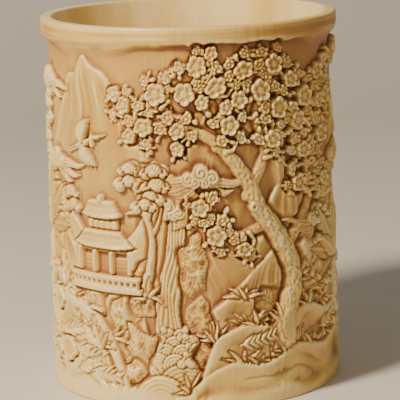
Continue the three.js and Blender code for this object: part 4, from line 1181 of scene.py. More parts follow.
# a blossom seen squarely or from one side, each petal cupped and lapping over the next
def blossom(layer, x, y, radius, spin, level, squashShare, facing):
    where, right, above = cellsNear(x, y, radius + 2.5)
    across, run = turned(right, above, facing)
    across = across / squashShare
    away = np.hypot(across, run)
    angle = np.arctan2(run, across) + spin
    step = fullTurn / blossoms["petals"]
    off = angle - np.round(angle / step) * step
    petalRadius = 0.5 * radius
    sideways = away * np.sin(off)
    q = np.hypot(away * np.cos(off) - 0.53 * radius, sideways) / petalRadius
    cup = level + 0.7 * ease(q, 0.05, 0.8) + 0.4 * ease(away / radius, 0.2, 0.9) - 0.9 * ease(q, 0.8, 1.0)
    lap = 0.4 * sideways / petalRadius * ease(away / radius, 0.2, 0.5)
    seam = 0.45 * bell((np.abs(off) - step / 2) * away / 0.32) * ease(away / radius, 0.2, 0.4)
    put(layer, where, (q - 1) * petalRadius, cup + lap - seam)
    stamens = 0.75 * np.clip(np.cos(angle * 9), 0, 1) * bell((away / radius - 0.33) / 0.08)
    heart = 1.1 * dome(away / (0.19 * radius))
    put(layer, where, away - 0.4 * radius, level - 0.45 + np.maximum(stamens, heart))


def bud(layer, x, y, radius, level, lean=0.0):
    where, right, above = cellsNear(x, y, 2 * radius + 2)
    across, run = turned(right, above, lean)
    away = np.hypot(across, run / 1.35) * (1 + 0.25 * run / radius / 1.35)
    cleft = 0.3 * bell(across / 0.3) * (run > 0)
    put(layer, where, away - radius, level - 0.4 + 0.9 * dome(away / radius) - cleft)


# whether a new blossom keeps clear of the others and within the crown's bounds
def fits(x, y, radius, others, closeShare):
    clear = all(
        math.hypot(x - midX, y - midY) > closeShare * (radius + other) for midX, midY, other in others
    )
    return clear and y + radius < up(blossoms["topShare"]) and x > along(blossoms["fromTurn"])


# smaller blossoms sprout round each main one in turn, where they fit
def sprouted(main):
    everyone = list(main)
    for k, (x, y, radius) in enumerate(main):
        if len(everyone) >= len(main) + blossoms["sproutCount"]:
            break
        for j in range(blossoms["sprouts"]):
            small = blossoms["radius"] * smallBlossomShares[(j + k) % len(smallBlossomShares)]
            angle = (j / blossoms["sprouts"] + k * blossoms["sproutTurnShare"]) * fullTurn
            newX, newY = reached(x, y, radius + small, angle)
            if fits(newX, newY, small, everyone, blossoms["sproutCloseShare"]):
                everyone.append((newX, newY, small))
    return everyone[len(main):]


# the wall behind the crown is sunk in deep and shallow pockets, and the boughs are set in again
def hollowCrown(everyone):
    hollow = newLayer()
    for x, y, radius in everyone:
        reach = radius + blossoms["hollowReach"]
        where, right, above = cellsNear(x, y, reach + 1)
        put(hollow, where, np.hypot(right, above) - reach, np.ones(right.shape))
    inside = blurred((hollow["edge"] < 0) * 1.0, blossoms["hollowBlur"])
    pockets = ease(layeredNoise(blossoms["pocketSize"], 33), -0.35, 0.25)
    floor = blossoms["shallow"] + (blossoms["deepest"] - blossoms["shallow"]) * pockets
    share = ease(inside, 0.35, 0.8)
    relief[:] = np.minimum(relief, relief * (1 - share) + floor * share)
    # the deep pockets are painted darker: painted shade and stain
    leafStainAndShade[:] = np.maximum(leafStainAndShade, share * pockets)
    boughsAgain = newLayer()
    upperLines = [line[3:] for line in plumLines]
    boughs(boughsAgain, upperLines, plum["radius"], plum["level"], plum["thickness"], 0)
    raised = np.clip(np.maximum(relief, boughsAgain["height"]), 0, topLevel)
    relief[:] = np.where(boughsAgain["edge"] < 0, raised, relief)


def plumCrown():
    random = np.random.default_rng(5)
    main = [(along(turn), up(share), blossoms["radius"] * size) for turn, share, size in blossomShares]
    extras = sprouted(main)
    print("blossoms sprouted:", len(extras))
    attempts = 0
    while len(extras) < blossoms["extra"] and attempts < 3000:
        attempts += 1
        nearX, nearY, nearRadius = main[random.integers(len(main))]
        angle = random.uniform(0, fullTurn)
        radius = blossoms["radius"] * random.uniform(0.4, 0.72)
        x, y = reached(nearX, nearY, (nearRadius + radius) * random.uniform(0.85, 1.15), angle)
        if fits(x, y, radius, main + extras, blossoms["extraCloseShare"]):
            extras.append((x, y, radius))
    hollowCrown(main + extras)
    layer = newLayer()
    for i, (x, y, radius) in enumerate(main + extras):
        root = nearestOn(plumLines, x, y)
        twig(layer, root[0], root[1], x, y, plum["twig"], plum["twigLevel"], i)
        for j in range(2):
            angle = random.uniform(0, fullTurn)
            tipX, tipY = reached(x, y, radius + random.uniform(1.0, 2.4), angle)
            tipY = min(tipY, up(blossoms["tipTopShare"]))
            twig(layer, x, y, tipX, tipY, plum["twig"] * 0.8, plum["tipLevel"], i + j)
            size = blossoms["bud"] * random.uniform(0.8, 1.2)
            bud(layer, tipX, tipY, size, plum["budLevel"], 90 - math.degrees(angle))
    press(layer, blossoms["twigCut"])
    for x, y, radius in extras + main:
        layer = newLayer()
        small = radius < 0.7 * blossoms["radius"]
        squashShare = random.uniform(0.55, 0.85) if small else random.uniform(0.78, 1.0)
        blossom(layer, x, y, radius, random.uniform(0, fullTurn), blossoms["level"] - 0.35 * small,
                squashShare, random.uniform(0, 180))
        press(layer, blossoms)


plumCrown()
print("blossoms cut")

plantain = dict(
    length=24.0, width=7.0, level=3.5, bowl=1.1, drop=0.9, leafStainAndShadeShare=0.7,
    stem=2.0, stemLevel=2.6, stemCut=dict(bowl=1.6, floor=0.8),
)
# turn and height share
plantainCrownShares = [(76, 0.34), (282, 0.44)]
# lean in degrees and share of the length
plantainLeafShares = [
    (-96, 0.7), (98, 0.62), (-66, 1), (72, 0.85), (-34, 1.1), (36, 1), (0, 1.15), (-50, 0.75), (18, 0.8),
]


def plantainClump(turn, heightShare, seed):
    layer = newLayer()
    stem = [
        (turn + 1, heightShare - 0.15, 1.25), (turn, heightShare - 0.05, 1), (turn, heightShare + 0.02, 0.7),
    ]
    bough(layer, smoothLine(stem, 2.5), plantain["stem"], plantain["stemLevel"], 1.5, seed, furrows=3)
    press(layer, plantain["stemCut"])
    grassTuft(turn + 1, heightShare - 0.165, 1.1, seed=440 + seed)
    for i, (lean, share) in enumerate(plantainLeafShares):
        layer = newLayer()
        bend = math.copysign(0.05 * abs(lean), lean)
        level = plantain["level"] - 0.9 + 0.12 * i
        leaf(layer, along(turn), up(heightShare), lean, plantain["length"] * share, plantain["width"], level,
             bend=bend, raggedShare=0.28, veinDepth=0.25, blunt=0.85)
        press(layer, plantain)


cutEach(plantainClump, plantainCrownShares)
print("plantain cut")

bamboo = dict(
    radius=1.7, caneLevel=2.0, caneThick=1.3, nodePitch=8.5,
    caneCut=dict(bowl=2.0, floor=0.4, leafStainAndShadeShare=0.6),
    leafLength=11.0, leafWidth=2.6, level=3.4, bowl=0.9, floor=0.7, leafStainAndShadeShare=0.9,
)
# turns of the foot and the top, the top's height share
bambooCaneShares = [(134, 130, 0.8), (142, 143, 0.88), (150, 155, 0.74), (127, 121, 0.7), (138, 136, 0.93)]
bambooFootShare = 0.1
# turn and height share, and the lean of the leaves that hang from each place
bambooSprayShares = [
    (127, 0.82), (137, 0.72), (133, 0.6), (146, 0.85), (147, 0.66), (156, 0.72), (139, 0.48), (152, 0.52),
    (121, 0.72), (124, 0.6), (131, 0.88), (141, 0.92), (152, 0.8), (130, 0.5), (145, 0.4), (158, 0.62),
    (119, 0.64), (136, 0.83), (126, 0.44), (150, 0.9), (120, 0.52), (142, 0.58), (134, 0.66), (148, 0.76),
]
bambooLeans = (-128, -152, 128, 152, 178)


def bambooCane(foot, top, topShare, seed):
    places = [(foot, bambooFootShare, 1), ((foot + top) / 2, topShare / 2, 0.9), (top, topShare, 0.65)]
    line = smoothLine(places, 2)
    layer = newLayer()
    bough(layer, line, bamboo["radius"], bamboo["caneLevel"], bamboo["caneThick"], seed, furrows=0)
    for point in line:
        if int(point[1] / bamboo["nodePitch"]) != int((point[1] - 2) / bamboo["nodePitch"]):
            where, right, above = cellsNear(point[0], point[1], 4, 2)
            half = bamboo["radius"] * point[2] + 0.3
            edge = np.maximum(np.abs(right) - half, np.abs(above) - 0.5)
            put(layer, where, edge, bamboo["level"] - 0.4 * (right / half) ** 2)
    press(layer, bamboo["caneCut"])


def bambooSpray(turn, heightShare, random):
    for lean in bambooLeans:
        layer = newLayer()
        tilt = lean + random.uniform(-14, 14)
        length = bamboo["leafLength"] * random.uniform(0.65, 1.05)
        level = bamboo["level"] + random.uniform(-0.2, 0.5)
        leaf(layer, along(turn), up(heightShare), tilt, length, bamboo["leafWidth"], level, blunt=0.8)
        press(layer, bamboo)


random = np.random.default_rng(8)
cutEach(bambooCane, bambooCaneShares)
for row in bambooSprayShares:
    bambooSpray(*row, random)
for i, (foot, _, _) in enumerate(bambooCaneShares):
    grassTuft(foot, bambooFootShare - 0.01, 1.0, seed=450 + i)
print("bamboo cut")

layer = newLayer()
boughs(layer, limbLines(pineRootShares), pine["radius"], pine["boughLevel"], pine["rootThick"], 30)
boughs(layer, limbLines(pineBoughShares), pine["radius"], pine["boughLevel"], pine["boughThick"], 20)
press(layer, pine["boughCut"])
grassTuft(236.5, 0.125, 1.0, seed=460)
random = np.random.default_rng(12)
for turn, heightShare, share in pinePadShares:
    for j in range(pine["padsAtTip"]):
        layer = newLayer()
        x = along(turn)
        y = up(heightShare)
        if j < pine["padsAtTip"] - 1:
            x += random.uniform(-0.55, 0.55) * pine["padWidth"] * share
            y += random.uniform(-0.5, 0.5) * pine["padHeight"] * share
        width = pine["padWidth"] * share * random.uniform(0.55, 0.78)
        level = pine["level"] + 0.05 * j
        pinePad(layer, x, y, width, width * pine["flatShare"], level, random.uniform(0, 1))
        press(layer, pine)
print("pine cut")

cranes = dict(
    wingLength=10.0, wingWidth=1.7, bodyLength=8.0, bodyWidth=3.0, level=3.1, feathers=6,
    neck=6.0, legs=7.0, bowl=1.6, drop=0.4, wingCut=dict(bowl=0.9, drop=0.5),
    wingSweeps=[(1, 54), (-1, 74)],  # side, and degrees from the beak to the first feather
)
# turn, height share, the climb of the body in degrees, share of the size
craneShares = [(-47, 0.69, 20, 0.95), (170, 0.7, -12, 1), (204, 0.48, 15, 0.9)]


def crane(turn, heightShare, climb, share):
    x = along(turn)
    y = up(heightShare)
    aheadX = math.cos(math.radians(climb))
    aheadY = math.sin(math.radians(climb))
    level = cranes["level"]
    bodyLength = cranes["bodyLength"] * share
    layer = newLayer()

    def place(reach, rise, size):
        return np.array((x + aheadX * reach - aheadY * rise, y + aheadY * reach + aheadX * rise, size))

    neck = []
    for j in range(6):
        t = j / 5
        reach = bodyLength * 0.4 + cranes["neck"] * share * t
        neck.append(place(reach, 0.7 * share * math.sin(t * 3.0), 1 - 0.3 * t))
    bough(layer, neck, 0.7 * share, level - 0.2, 0.7, 1, furrows=0)
    headX, headY, _ = neck[-1]
    bud(layer, headX, headY, 0.8 * share, level - 0.1, lean=90 - climb)
    leaf(layer, headX, headY, 90 - climb + 3, 4.2 * share, 0.75 * share, level - 0.1)
    for off in (-0.5, 0.5):
        leg = [place(-bodyLength * 0.4 - cranes["legs"] * share * (j / 3), off, 1) for j in range(4)]
        bough(layer, leg, 0.36, level - 0.6, 0.5, 1, furrows=0)
    where, right, above = cellsNear(x, y, 12 * share)
    run, rise = turned(right, above, -climb)
    q = np.hypot(run / (bodyLength / 2), rise / (cranes["bodyWidth"] * share / 2))
    put(layer, where, (q - 1) * 1.5 * share, level + 0.7 * dome(q))
    press(layer, cranes)
    for side, sweep in cranes["wingSweeps"]:
        layer = newLayer()
        for i in range(cranes["feathers"]):
            lean = 90 - climb - side * (sweep + 12 * i)
            length = cranes["wingLength"] * share * (1.05 - 0.09 * i)
            leaf(layer, x + 0.6 * aheadX, y + 0.6 * aheadY, lean, length, cranes["wingWidth"] * share,
                 level + 0.75 - 0.07 * i, blunt=1.5)
        press(layer, cranes["wingCut"])


for row in craneShares:
    crane(*row)
print("cranes cut")


# the very top and the very foot are never cut, and the whole is rubbed smooth
def finishCarving():
    fromTop = bodyHeight - rowHeights[:, None]
    top = 1 - ease(fromTop, bands["sureRim"] - bands["sureSoft"], bands["sureRim"] + bands["sureSoft"])
    footBorder = bands["footHeight"] + bands["footSway"] * lineNoise(columnPlaces, 12, 53)
    foot = 1 - ease((rowHeights[:, None] - footBorder) / bands["footSoft"], -0.5, 0.5)
    carved = blurred(relief, wall["polish"])
    carved += wall["handWave"] * layeredNoise(wall["handWaveSize"], 61) * ease(relief, 0.5, 1.5)
    carved += wall["toolMark"] * layeredNoise(wall["toolMarkSize"], 71, octaves=2)
    for band in (top, foot):
        carved = carved * (1 - band) + (topLevel - bands["sureGap"]) * band
    return np.clip(carved, 0, topLevel)


relief = finishCarving()

# old stain and painted shade follow how deep each place lies among its neighbours, how far it is from the
# skin, and chance; what stands proud is painted paler as a painted highlight, and the side away from the key
# light darker
stain = dict(
    # how far off the neighbours lie, the share of their height, and its limits
    hollowStainAndShadeShares=[
        (0.35, 0.4, -0.13, 0.3), (0.8, 0.34, -0.4, 0.7), (2.0, 0.17, -9, 9), (6.5, 0.06, -9, 9),
    ],
    # deeper places are painted darker: stain held there and painted shade
    depthShare=0.13,
    proudHighlightShare=0.1,  # the highest forms are painted paler: a painted highlight
    # darker among the leaves, most where deep: stain and painted shade
    deepLeafStainAndShadeShare=0.22, leafStainAndShadeTone=0.04, upperShare=0.07,
    rimShare=0.2,  # the rim band holds more stain than the lip above it
    streakShare=0.1, streakLength=16.0, streakPitch=0.9,
    cloudShare=0.2, cloudSize=34.0, base=0.335,
    knee=0.56, kneeShare=0.42,  # beyond the knee it deepens more slowly
    # the side away from the key light is painted darker: painted shade
    paintedSideShadeShare=0.13, paintedShadeTurn=78.0,
)


def stainAndShadeField():
    total = np.full((rows, columns), stain["base"])
    # lower than its neighbours is painted darker, stain held in the cuts and painted shade; higher is paler,
    # a painted highlight
    for reach, share, low, high in stain["hollowStainAndShadeShares"]:
        total += share * np.clip(blurred(relief, reach) - relief, low, high)
    depth = np.clip(1 - relief / topLevel, 0, 1)
    leafy = blurred(leafStainAndShade, 1.0)
    # deeper places are painted darker: stain and painted shade
    total += stain["depthShare"] * (depth ** 1.5 - 0.25)
    # darker among the leaves where deep: stain and painted shade
    total += stain["deepLeafStainAndShadeShare"] * leafy * ease(depth, 0.35, 1.0)
    # the leaves are painted darker, stain and painted shade; the highest forms paler, a painted highlight
    total = total + stain["leafStainAndShadeTone"] * leafy - stain["proudHighlightShare"] * ease(blurred(relief, 1.5), 2.7, 4.0)
    total += stain["upperShare"] * (rowHeights[:, None] / bodyHeight - 0.5)
    total += stain["cloudShare"] * layeredNoise(stain["cloudSize"], 81)
    # painted shade: the side away from the key light is painted darker
    paintedSideShade = np.clip(np.cos((columnPlaces - along(stain["paintedShadeTurn"])) / bodyRadius), 0, 1)
    total += stain["paintedSideShadeShare"] * paintedSideShade
    fromTop = bodyHeight - rowHeights[:, None]
    band = ease(fromTop, 1.4, 2.6) * (1 - ease(fromTop, 6.5, 9.5))
    streaks = wallNoise(stain["streakLength"], stain["streakPitch"], 54)
    total += band * (stain["rimShare"] + stain["streakShare"] * streaks)
    slower = stain["knee"] + stain["kneeShare"] * (total - stain["knee"])
    return np.where(total > stain["knee"], slower, total)


stainAndShadeDepth = stainAndShadeField()
print("carving finished: deepest", round(float(relief.min()), 2), "highest", round(float(relief.max()), 2))

section = dict(
    mouthRadius=51.4, boreRadius=46.0, mouthDepth=27.0, lipInnerRound=0.8,
    seatRadius=51.0, seatDepth=5.2, seatChamfer=0.5, footWidth=3.0,
    arcSteps=5, boreRows=26,
    boreStain=0.14, boreStainSwell=0.16, holeStain=0.6,
)


# points on a quarter circle about a centre, from one angle on
def quarter(centreX, centreY, radius, fromAngle, steps):
    angles = [fromAngle + i / steps * math.pi / 2 for i in range(steps + 1)]
    return [(centreX + radius * math.cos(angle), centreY + radius * math.sin(angle)) for angle in angles]


# the section of the pot as (radius, height), from the outer wall's top over the lip, down the bore and
# out again under the foot
def closingProfile():
    outer = bodyRadius
    top = bodyHeight
    lip = wall["lipRound"]
    inner = section["lipInnerRound"]
    steps = section["arcSteps"]
    edge = section["mouthRadius"] + inner
    points = quarter(outer - lip, top - lip, lip, 0, steps)[1:]
    points.append(((outer - lip + edge) / 2, top))
    points += quarter(edge, top - inner, inner, math.pi / 2, steps)
    flareFoot = top - section["mouthDepth"]
    for i in range(1, section["boreRows"] + 1):
        share = i / section["boreRows"]
        height = top - inner - share * (top - inner - section["seatDepth"])
        flare = np.clip((height - flareFoot) / section["mouthDepth"], 0, 1)
        bore = section["boreRadius"]
        points.append((bore + (section["mouthRadius"] - bore) * flare, height))
    seat = section["seatRadius"]
    chamfer = section["seatChamfer"]
    points += [(seat, section["seatDepth"]), (seat, chamfer)]
    points += [(seat + chamfer, 0), (outer - section["footWidth"], 0)]
    foot = wall["footRound"]
    return points + quarter(outer - foot, foot, foot, -math.pi / 2, steps)[:-1]


def meshFrom(name, verts, quads, triangles=None):
    triangles = np.zeros((0, 3), int) if triangles is None else triangles
    corners = np.concatenate([quads.ravel(), triangles.ravel()]).astype(np.int32)
    counts = np.concatenate([np.full(len(quads), 4), np.full(len(triangles), 3)]).astype(np.int32)
    starts = (np.cumsum(counts) - counts).astype(np.int32)
    mesh = bpy.data.meshes.new(name)
    mesh.vertices.add(len(verts))
    mesh.vertices.foreach_set("co", verts.astype(np.float32).ravel())
    mesh.loops.add(len(corners))
    mesh.loops.foreach_set("vertex_index", corners)
    mesh.polygons.add(len(counts))
    mesh.polygons.foreach_set("loop_start", starts)
    mesh.polygons.foreach_set("loop_total", counts)
    mesh.polygons.foreach_set("use_smooth", np.ones(len(counts), dtype=bool))
    mesh.update(calc_edges=True)
    mesh.validate()
    return mesh


def placed(name, mesh):
    piece = bpy.data.objects.new(name, mesh)
    bpy.context.scene.collection.objects.link(piece)
    return piece


def addField(mesh, name, values):
    attribute = mesh.attributes.new(name, "FLOAT", "POINT")
    attribute.data.foreach_set("value", values.astype(np.float32).ravel())


# rings of the same count, each joined to the next and, where closed, the last to the first
def ringQuads(ringCount, ringSize, closed=True):
    rowIndex = np.arange(ringCount if closed else ringCount - 1)[:, None]
    columnIndex = np.arange(ringSize)[None, :]
    nextRow = (rowIndex + 1) % ringCount
    nextColumn = (columnIndex + 1) % ringSize
    return np.stack([
        rowIndex * ringSize + columnIndex,
        rowIndex * ringSize + nextColumn,
        nextRow * ringSize + nextColumn,
        nextRow * ringSize + columnIndex,
    ], axis=-1).reshape(-1, 4)


pegs = dict(
    count=4, radius=1.2, holeRadius=1.5, circleRadius=48.5,
    lowEnd=1.0, highEnd=9.4, endGap=0.3, endRound=0.25, crown=0.12, sides=32,
)
pegTurns = [(i + 0.5) / pegs["count"] * fullTurn for i in range(pegs["count"])]


def onCircle(radius, angle):
    return radius * math.sin(angle), -radius * math.cos(angle)


# two closed loops of corners joined by faces
def joinLoops(faces, near, far):
    for k in range(len(near)):
        after = (k + 1) % len(near)
        faces.append((near[k], near[after], far[after], far[k]))


# A round peg hole in a flat ring of faces: the faces near it are taken out and their border is led to a
# circle. Its corners are told apart by the side they lie on and their column.
def pegMouth(verts, added, removed, faces, ring, segments, turn, innerFirst):
    spread = 1.18 * pegs["holeRadius"] / (pegs["circleRadius"] * fullTurn / segments)
    half = math.ceil(spread)
    middle = round(turn / fullTurn * segments)
    span = [(middle + k) % segments for k in range(-half, half + 1)]
    removed += [ring * segments + column for column in span[:-1]]
    border = [(innerFirst, column, ring * segments + column) for column in span]
    border += [(not innerFirst, column, (ring + 1) * segments + column) for column in reversed(span)]
    centre = np.array(onCircle(pegs["circleRadius"], turn))
    mouth = {}
    for inner, column, index in border:
        side = -1 if inner else 1
        reach = pegs["circleRadius"] + side * spread * pegs["circleRadius"] * fullTurn / segments
        off = np.array(onCircle(reach, column / segments * fullTurn)) - centre
        place = centre + off / np.hypot(*off) * pegs["holeRadius"]
        mouth[(inner, column)] = len(verts) + len(added)
        added.append((place[0] * mm, place[1] * mm, verts[index][2]))
    joinLoops(faces, [index for _, _, index in border], list(mouth.values()))
    return mouth


def meshWithHoles(name, verts, quads, added, removed, faces, triangles=None):
    quads = np.vstack([np.delete(quads, removed, axis=0), np.array(faces)])
    return meshFrom(name, np.vstack([verts, np.array(added)]), quads, triangles)


def carvedBody():
    profile = closingProfile()
    angles = columnPlaces / bodyRadius
    radii = groundRadius + relief
    heights = np.repeat(rowHeights[:, None], columns, axis=1)
    closingRadii, closingHeights = (
        np.repeat(np.array([[point[k]] for point in profile]), columns, axis=1) for k in (0, 1)
    )
    # the arcs of the lip and the foot follow what stands next to them
    arc = section["arcSteps"]
    for i in range(arc):
        closingRadii[i] += (relief[-1] - topLevel) * (1 - (i + 1) / arc)
        closingRadii[-1 - i] += (relief[0] - topLevel) * (1 - (i + 1) / arc)
    radii = np.minimum(np.vstack([radii, closingRadii]), bodyRadius)
    heights = np.vstack([heights, closingHeights])
    verts = np.stack([radii * np.sin(angles), -radii * np.cos(angles), heights], axis=-1).reshape(-1, 3) * mm
    quads = ringQuads(len(radii), columns)
    ledgeRing = rows + [point[1] for point in profile].index(section["seatDepth"])
    added = []
    removed = []
    faces = []
    holeTop = (pegs["highEnd"] + pegs["endGap"]) * mm
    for turn in pegTurns:
        mouth = list(pegMouth(verts, added, removed, faces, ledgeRing, columns, turn, True).values())
        top = [len(verts) + len(added) + k for k in range(len(mouth))]
        added += [(*added[index - len(verts)][:2], holeTop) for index in mouth]
        joinLoops(faces, mouth, top)
        x, y = onCircle(pegs["circleRadius"], turn)
        added.append((x * mm, y * mm, holeTop))
        for k in range(0, len(top), 2):
            faces.append((top[k], top[k + 1], top[(k + 2) % len(top)], top[-1] + 1))
    mesh = meshWithHoles("carved_wall", verts, quads, added, removed, faces)
    patches = np.array([[lineNoise(height + 40, 31, 91)] for _, height in profile])
    streaks = lineNoise(columnPlaces, 17, 92) + 0.6 * lineNoise(columnPlaces, 6, 93)
    boreStain = section["boreStain"] + section["boreStainSwell"] * (0.5 * patches + 0.5 * streaks)
    boreStain = np.broadcast_to(boreStain, closingRadii.shape).copy()
    boreStain[:arc + 1] = stainAndShadeDepth[-1] * np.linspace(1, 0.6, arc + 1)[:, None]
    holeStain = np.full(len(added), section["holeStain"])
    addField(mesh, "stainAndShadeDepth", np.concatenate([stainAndShadeDepth.ravel(), boreStain.ravel(), holeStain]))
    return placed("carved_wall", mesh)


# sRGB hex to linear
def linear(hexColour):
    channels = [int(hexColour[i:i + 2], 16) / 255 for i in (1, 3, 5)]
    return tuple(c / 12.92 if c <= 0.04045 else ((c + 0.055) / 1.055) ** 2.4 for c in channels) + (1.0,)


# settings are a node's sockets or properties; links are sockets that another node feeds, from its first
# output unless another one is given
def addNode(tree, kind, settings=None, links=None):
    node = tree.nodes.new("ShaderNode" + kind)
    for name, value in (settings or {}).items():
        if isinstance(name, int) or name in node.inputs:
            node.inputs[name].default_value = value
        else:
            setattr(node, name, value)
    for name, source in (links or {}).items():
        output = source if isinstance(source, bpy.types.NodeSocket) else source.outputs[0]
        tree.links.new(output, node.inputs[name])
    return node


def newMaterial(name):
    material = bpy.data.materials.new(name)
    material.use_nodes = True
    tree = material.node_tree
    tree.nodes.clear()
    return material, tree, addNode(tree, "TexCoord").outputs["Object"]


# Elephant ivory, carved by hand, polished and stained with age. The eye sees a waxy cream on what stands
# proud, partly a painted highlight, gold on the slopes and red-brown in the cuts, stain and painted shade.
ivory = dict(
    polishedAndHighlight="#F5DC9C", cream="#E7C46C", gold="#CC9F4C", russet="#A0643A", darkStainAndShade="#583430",
    roughness=0.28, dryRoughness=0.6,
    grainPitch=0.9,  # mm between the growth lines, drawn twice as coarse as real so that they show
    grainStretch=0.1,  # the lines run up the tusk
    mottleSize=11.0,  # mm
    mottleShare=0.16,
    scratchSize=0.5,  # mm, drawn coarser than the real 0.1 mm
    crackSpacing=26.0,  # mm between the fine age cracks, which run up the tusk too
    crackStretch=0.05, crackWidth=0.0035, crackStain=0.1,
    arcCount=110.0,  # crossing arcs round the tusk where it is cut across
    arcPitch=2.2,  # mm, drawn twice as coarse as real so that they show
    turningPitch=0.6,  # mm between the marks of the lathe tool
    bumpHeight=0.05,  # mm
)


# the field of stain and painted shade, mottled, cracked and run through the colours; gives the colour and the
# field itself
def stainedAndShadedColour(tree, place, stainOffset):
    field = addNode(tree, "Attribute", {"attribute_name": "stainAndShadeDepth"}).outputs["Fac"]
    scale = 1 / (ivory["mottleSize"] * mm)
    mottle = addNode(tree, "TexNoise", {"Scale": scale, "Detail": 5.0}, {"Vector": place})
    share = ivory["mottleShare"]
    mottled = addNode(tree, "Math", {"operation": "MULTIPLY_ADD", 1: share}, {0: mottle, 2: field})
    upright = addNode(tree, "Mapping", {"Scale": (1, 1, ivory["crackStretch"])}, {"Vector": place})
    crackSettings = {"Scale": 1 / (ivory["crackSpacing"] * mm), "Detail": 2.0}
    cracked = addNode(tree, "TexNoise", crackSettings, {"Vector": upright})
    off = addNode(tree, "Math", {"operation": "SUBTRACT", 1: 0.5}, {0: cracked})
    away = addNode(tree, "Math", {"operation": "ABSOLUTE"}, {0: off})
    crackRange = {"From Max": ivory["crackWidth"], "To Min": ivory["crackStain"], "To Max": 0.0}
    crack = addNode(tree, "MapRange", crackRange, {"Value": away})
    aged = addNode(tree, "Math", {"operation": "ADD"}, {0: mottled, 1: crack})
    shift = stainOffset - ivory["mottleShare"] / 2
    shifted = addNode(tree, "Math", {"operation": "ADD", 1: shift}, {0: aged})
    ramp = addNode(tree, "ValToRGB", None, {"Fac": shifted})
    stops = ramp.color_ramp.elements
    # the palest stop is polished ivory and painted highlight, the darkest is dark stain and painted shade
    stops[0].position = 0.04
    stops[0].color = linear(ivory["polishedAndHighlight"])
    stops[1].position = 0.95
    stops[1].color = linear(ivory["darkStainAndShade"])
    for position, colour in [(0.2, "cream"), (0.41, "gold"), (0.7, "russet")]:
        stops.new(position).color = linear(ivory[colour])
    return ramp, shifted


def ivoryShader(tree, colour, shade, stained, height):
    shadeSettings = {"data_type": "RGBA", "blend_type": "MULTIPLY", 0: 1.0}
    shaded = addNode(tree, "Mix", shadeSettings, {6: colour, 7: shade}).outputs[2]
    bump = addNode(tree, "Bump", {"Strength": 0.5, "Distance": ivory["bumpHeight"] * mm}, {"Height": height})
    glossRange = {"To Min": ivory["roughness"], "To Max": ivory["dryRoughness"]}
    gloss = addNode(tree, "MapRange", glossRange, {"Value": stained})
    shader = addNode(
        tree, "BsdfPrincipled",
        {
            "IOR": 1.54, "Subsurface Weight": 0.07, "Subsurface Scale": 0.8 * mm,
            "Subsurface Radius": (1.0, 0.6, 0.35),
        },
        {"Base Color": shaded, "Roughness": gloss, "Normal": bump},
    )
    addNode(tree, "OutputMaterial", None, {"Surface": shader})


def carvedMaterial(name):
    material, tree, place = newMaterial(name)
    colour, stained = stainedAndShadedColour(tree, place, 0.0)
    squeezed = addNode(tree, "Mapping", {"Scale": (1, 1, ivory["grainStretch"])}, {"Vector": place})
    grainSettings = {"Scale": 1 / (ivory["grainPitch"] * mm), "Detail": 3.0}
    grain = addNode(tree, "TexNoise", grainSettings, {"Vector": squeezed})
    shadeRange = {"From Min": 0.35, "From Max": 0.65, "To Min": 0.94, "To Max": 1.02}
    shade = addNode(tree, "MapRange", shadeRange, {"Value": grain})
    scratchSettings = {"Scale": 1 / (ivory["scratchSize"] * mm), "Detail": 2.0}
    scratches = addNode(tree, "TexNoise", scratchSettings, {"Vector": squeezed})
    ivoryShader(tree, colour, shade, stained, scratches)
    return material


# Ivory cut across the tusk and turned: the eye sees fine arcs that cross each other like engine turning.
def endGrainMaterial(name, stainOffset):
    material, tree, place = newMaterial(name)
    colour, stained = stainedAndShadedColour(tree, place, stainOffset)
    split = addNode(tree, "SeparateXYZ", None, {"Vector": place}).outputs
    angle = addNode(tree, "Math", {"operation": "ARCTAN2"}, {0: split["Y"], 1: split["X"]})
    flat = addNode(tree, "Mapping", {"Scale": (1, 1, 0)}, {"Vector": place})
    reach = addNode(tree, "VectorMath", {"operation": "LENGTH"}, {0: flat}).outputs["Value"]
    aroundWave = addNode(tree, "Math", {"operation": "MULTIPLY", 1: ivory["arcCount"]}, {0: angle})
    outFactor = fullTurn / (ivory["arcPitch"] * mm)
    outWave = addNode(tree, "Math", {"operation": "MULTIPLY", 1: outFactor}, {0: reach})
    waves = []
    for operation in ("ADD", "SUBTRACT"):
        both = addNode(tree, "Math", {"operation": operation}, {0: aroundWave, 1: outWave})
        waves.append(addNode(tree, "Math", {"operation": "SINE"}, {0: both}))
    crossing = addNode(tree, "Math", {"operation": "MULTIPLY"}, {0: waves[0], 1: waves[1]})
    shadeRange = {"From Min": -1.0, "From Max": 1.0, "To Min": 0.93, "To Max": 1.03}
    shade = addNode(tree, "MapRange", shadeRange, {"Value": crossing})
    turningSettings = {"Scale": 1 / (ivory["turningPitch"] * mm), "Detail": 1.0}
    turning = addNode(tree, "TexNoise", turningSettings, {"Vector": reach})
    ivoryShader(tree, colour, shade, stained, turning)
    return material


body = carvedBody()
body.data.materials.append(carvedMaterial("carved ivory, stain and painted shade"))
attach(body, "root")
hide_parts("carved_body")
print("wall built:", len(body.data.polygons), "faces")

plate = dict(
    segments=480,
    flangeRadius=50.7, stepRadius=45.7,
    underside=1.0, ledge=4.9, floor=7.6,
    chamfer=0.6, edgeSoft=0.12, axisGap=0.8, innerRings=76, floorRings=80,
    groovePlaces=[6.0, 19.0, 19.9, 33.0, 33.9],  # turned rings, radii on both faces
    grooveWidth=0.5, grooveDepth=0.16,
    floorBeadRadius=43.4, floorBead=0.22, floorBeadWidth=0.9,
    stain=0.2, rimStain=0.3, stainSwell=0.12, grooveStain=0.25, grooveStainWidth=0.6,
)


# how much of a turned groove lies at a radius
def grooved(radius, width):
    return min(1, sum(math.exp(-((radius - place) / width) ** 2) for place in plate["groovePlaces"]))


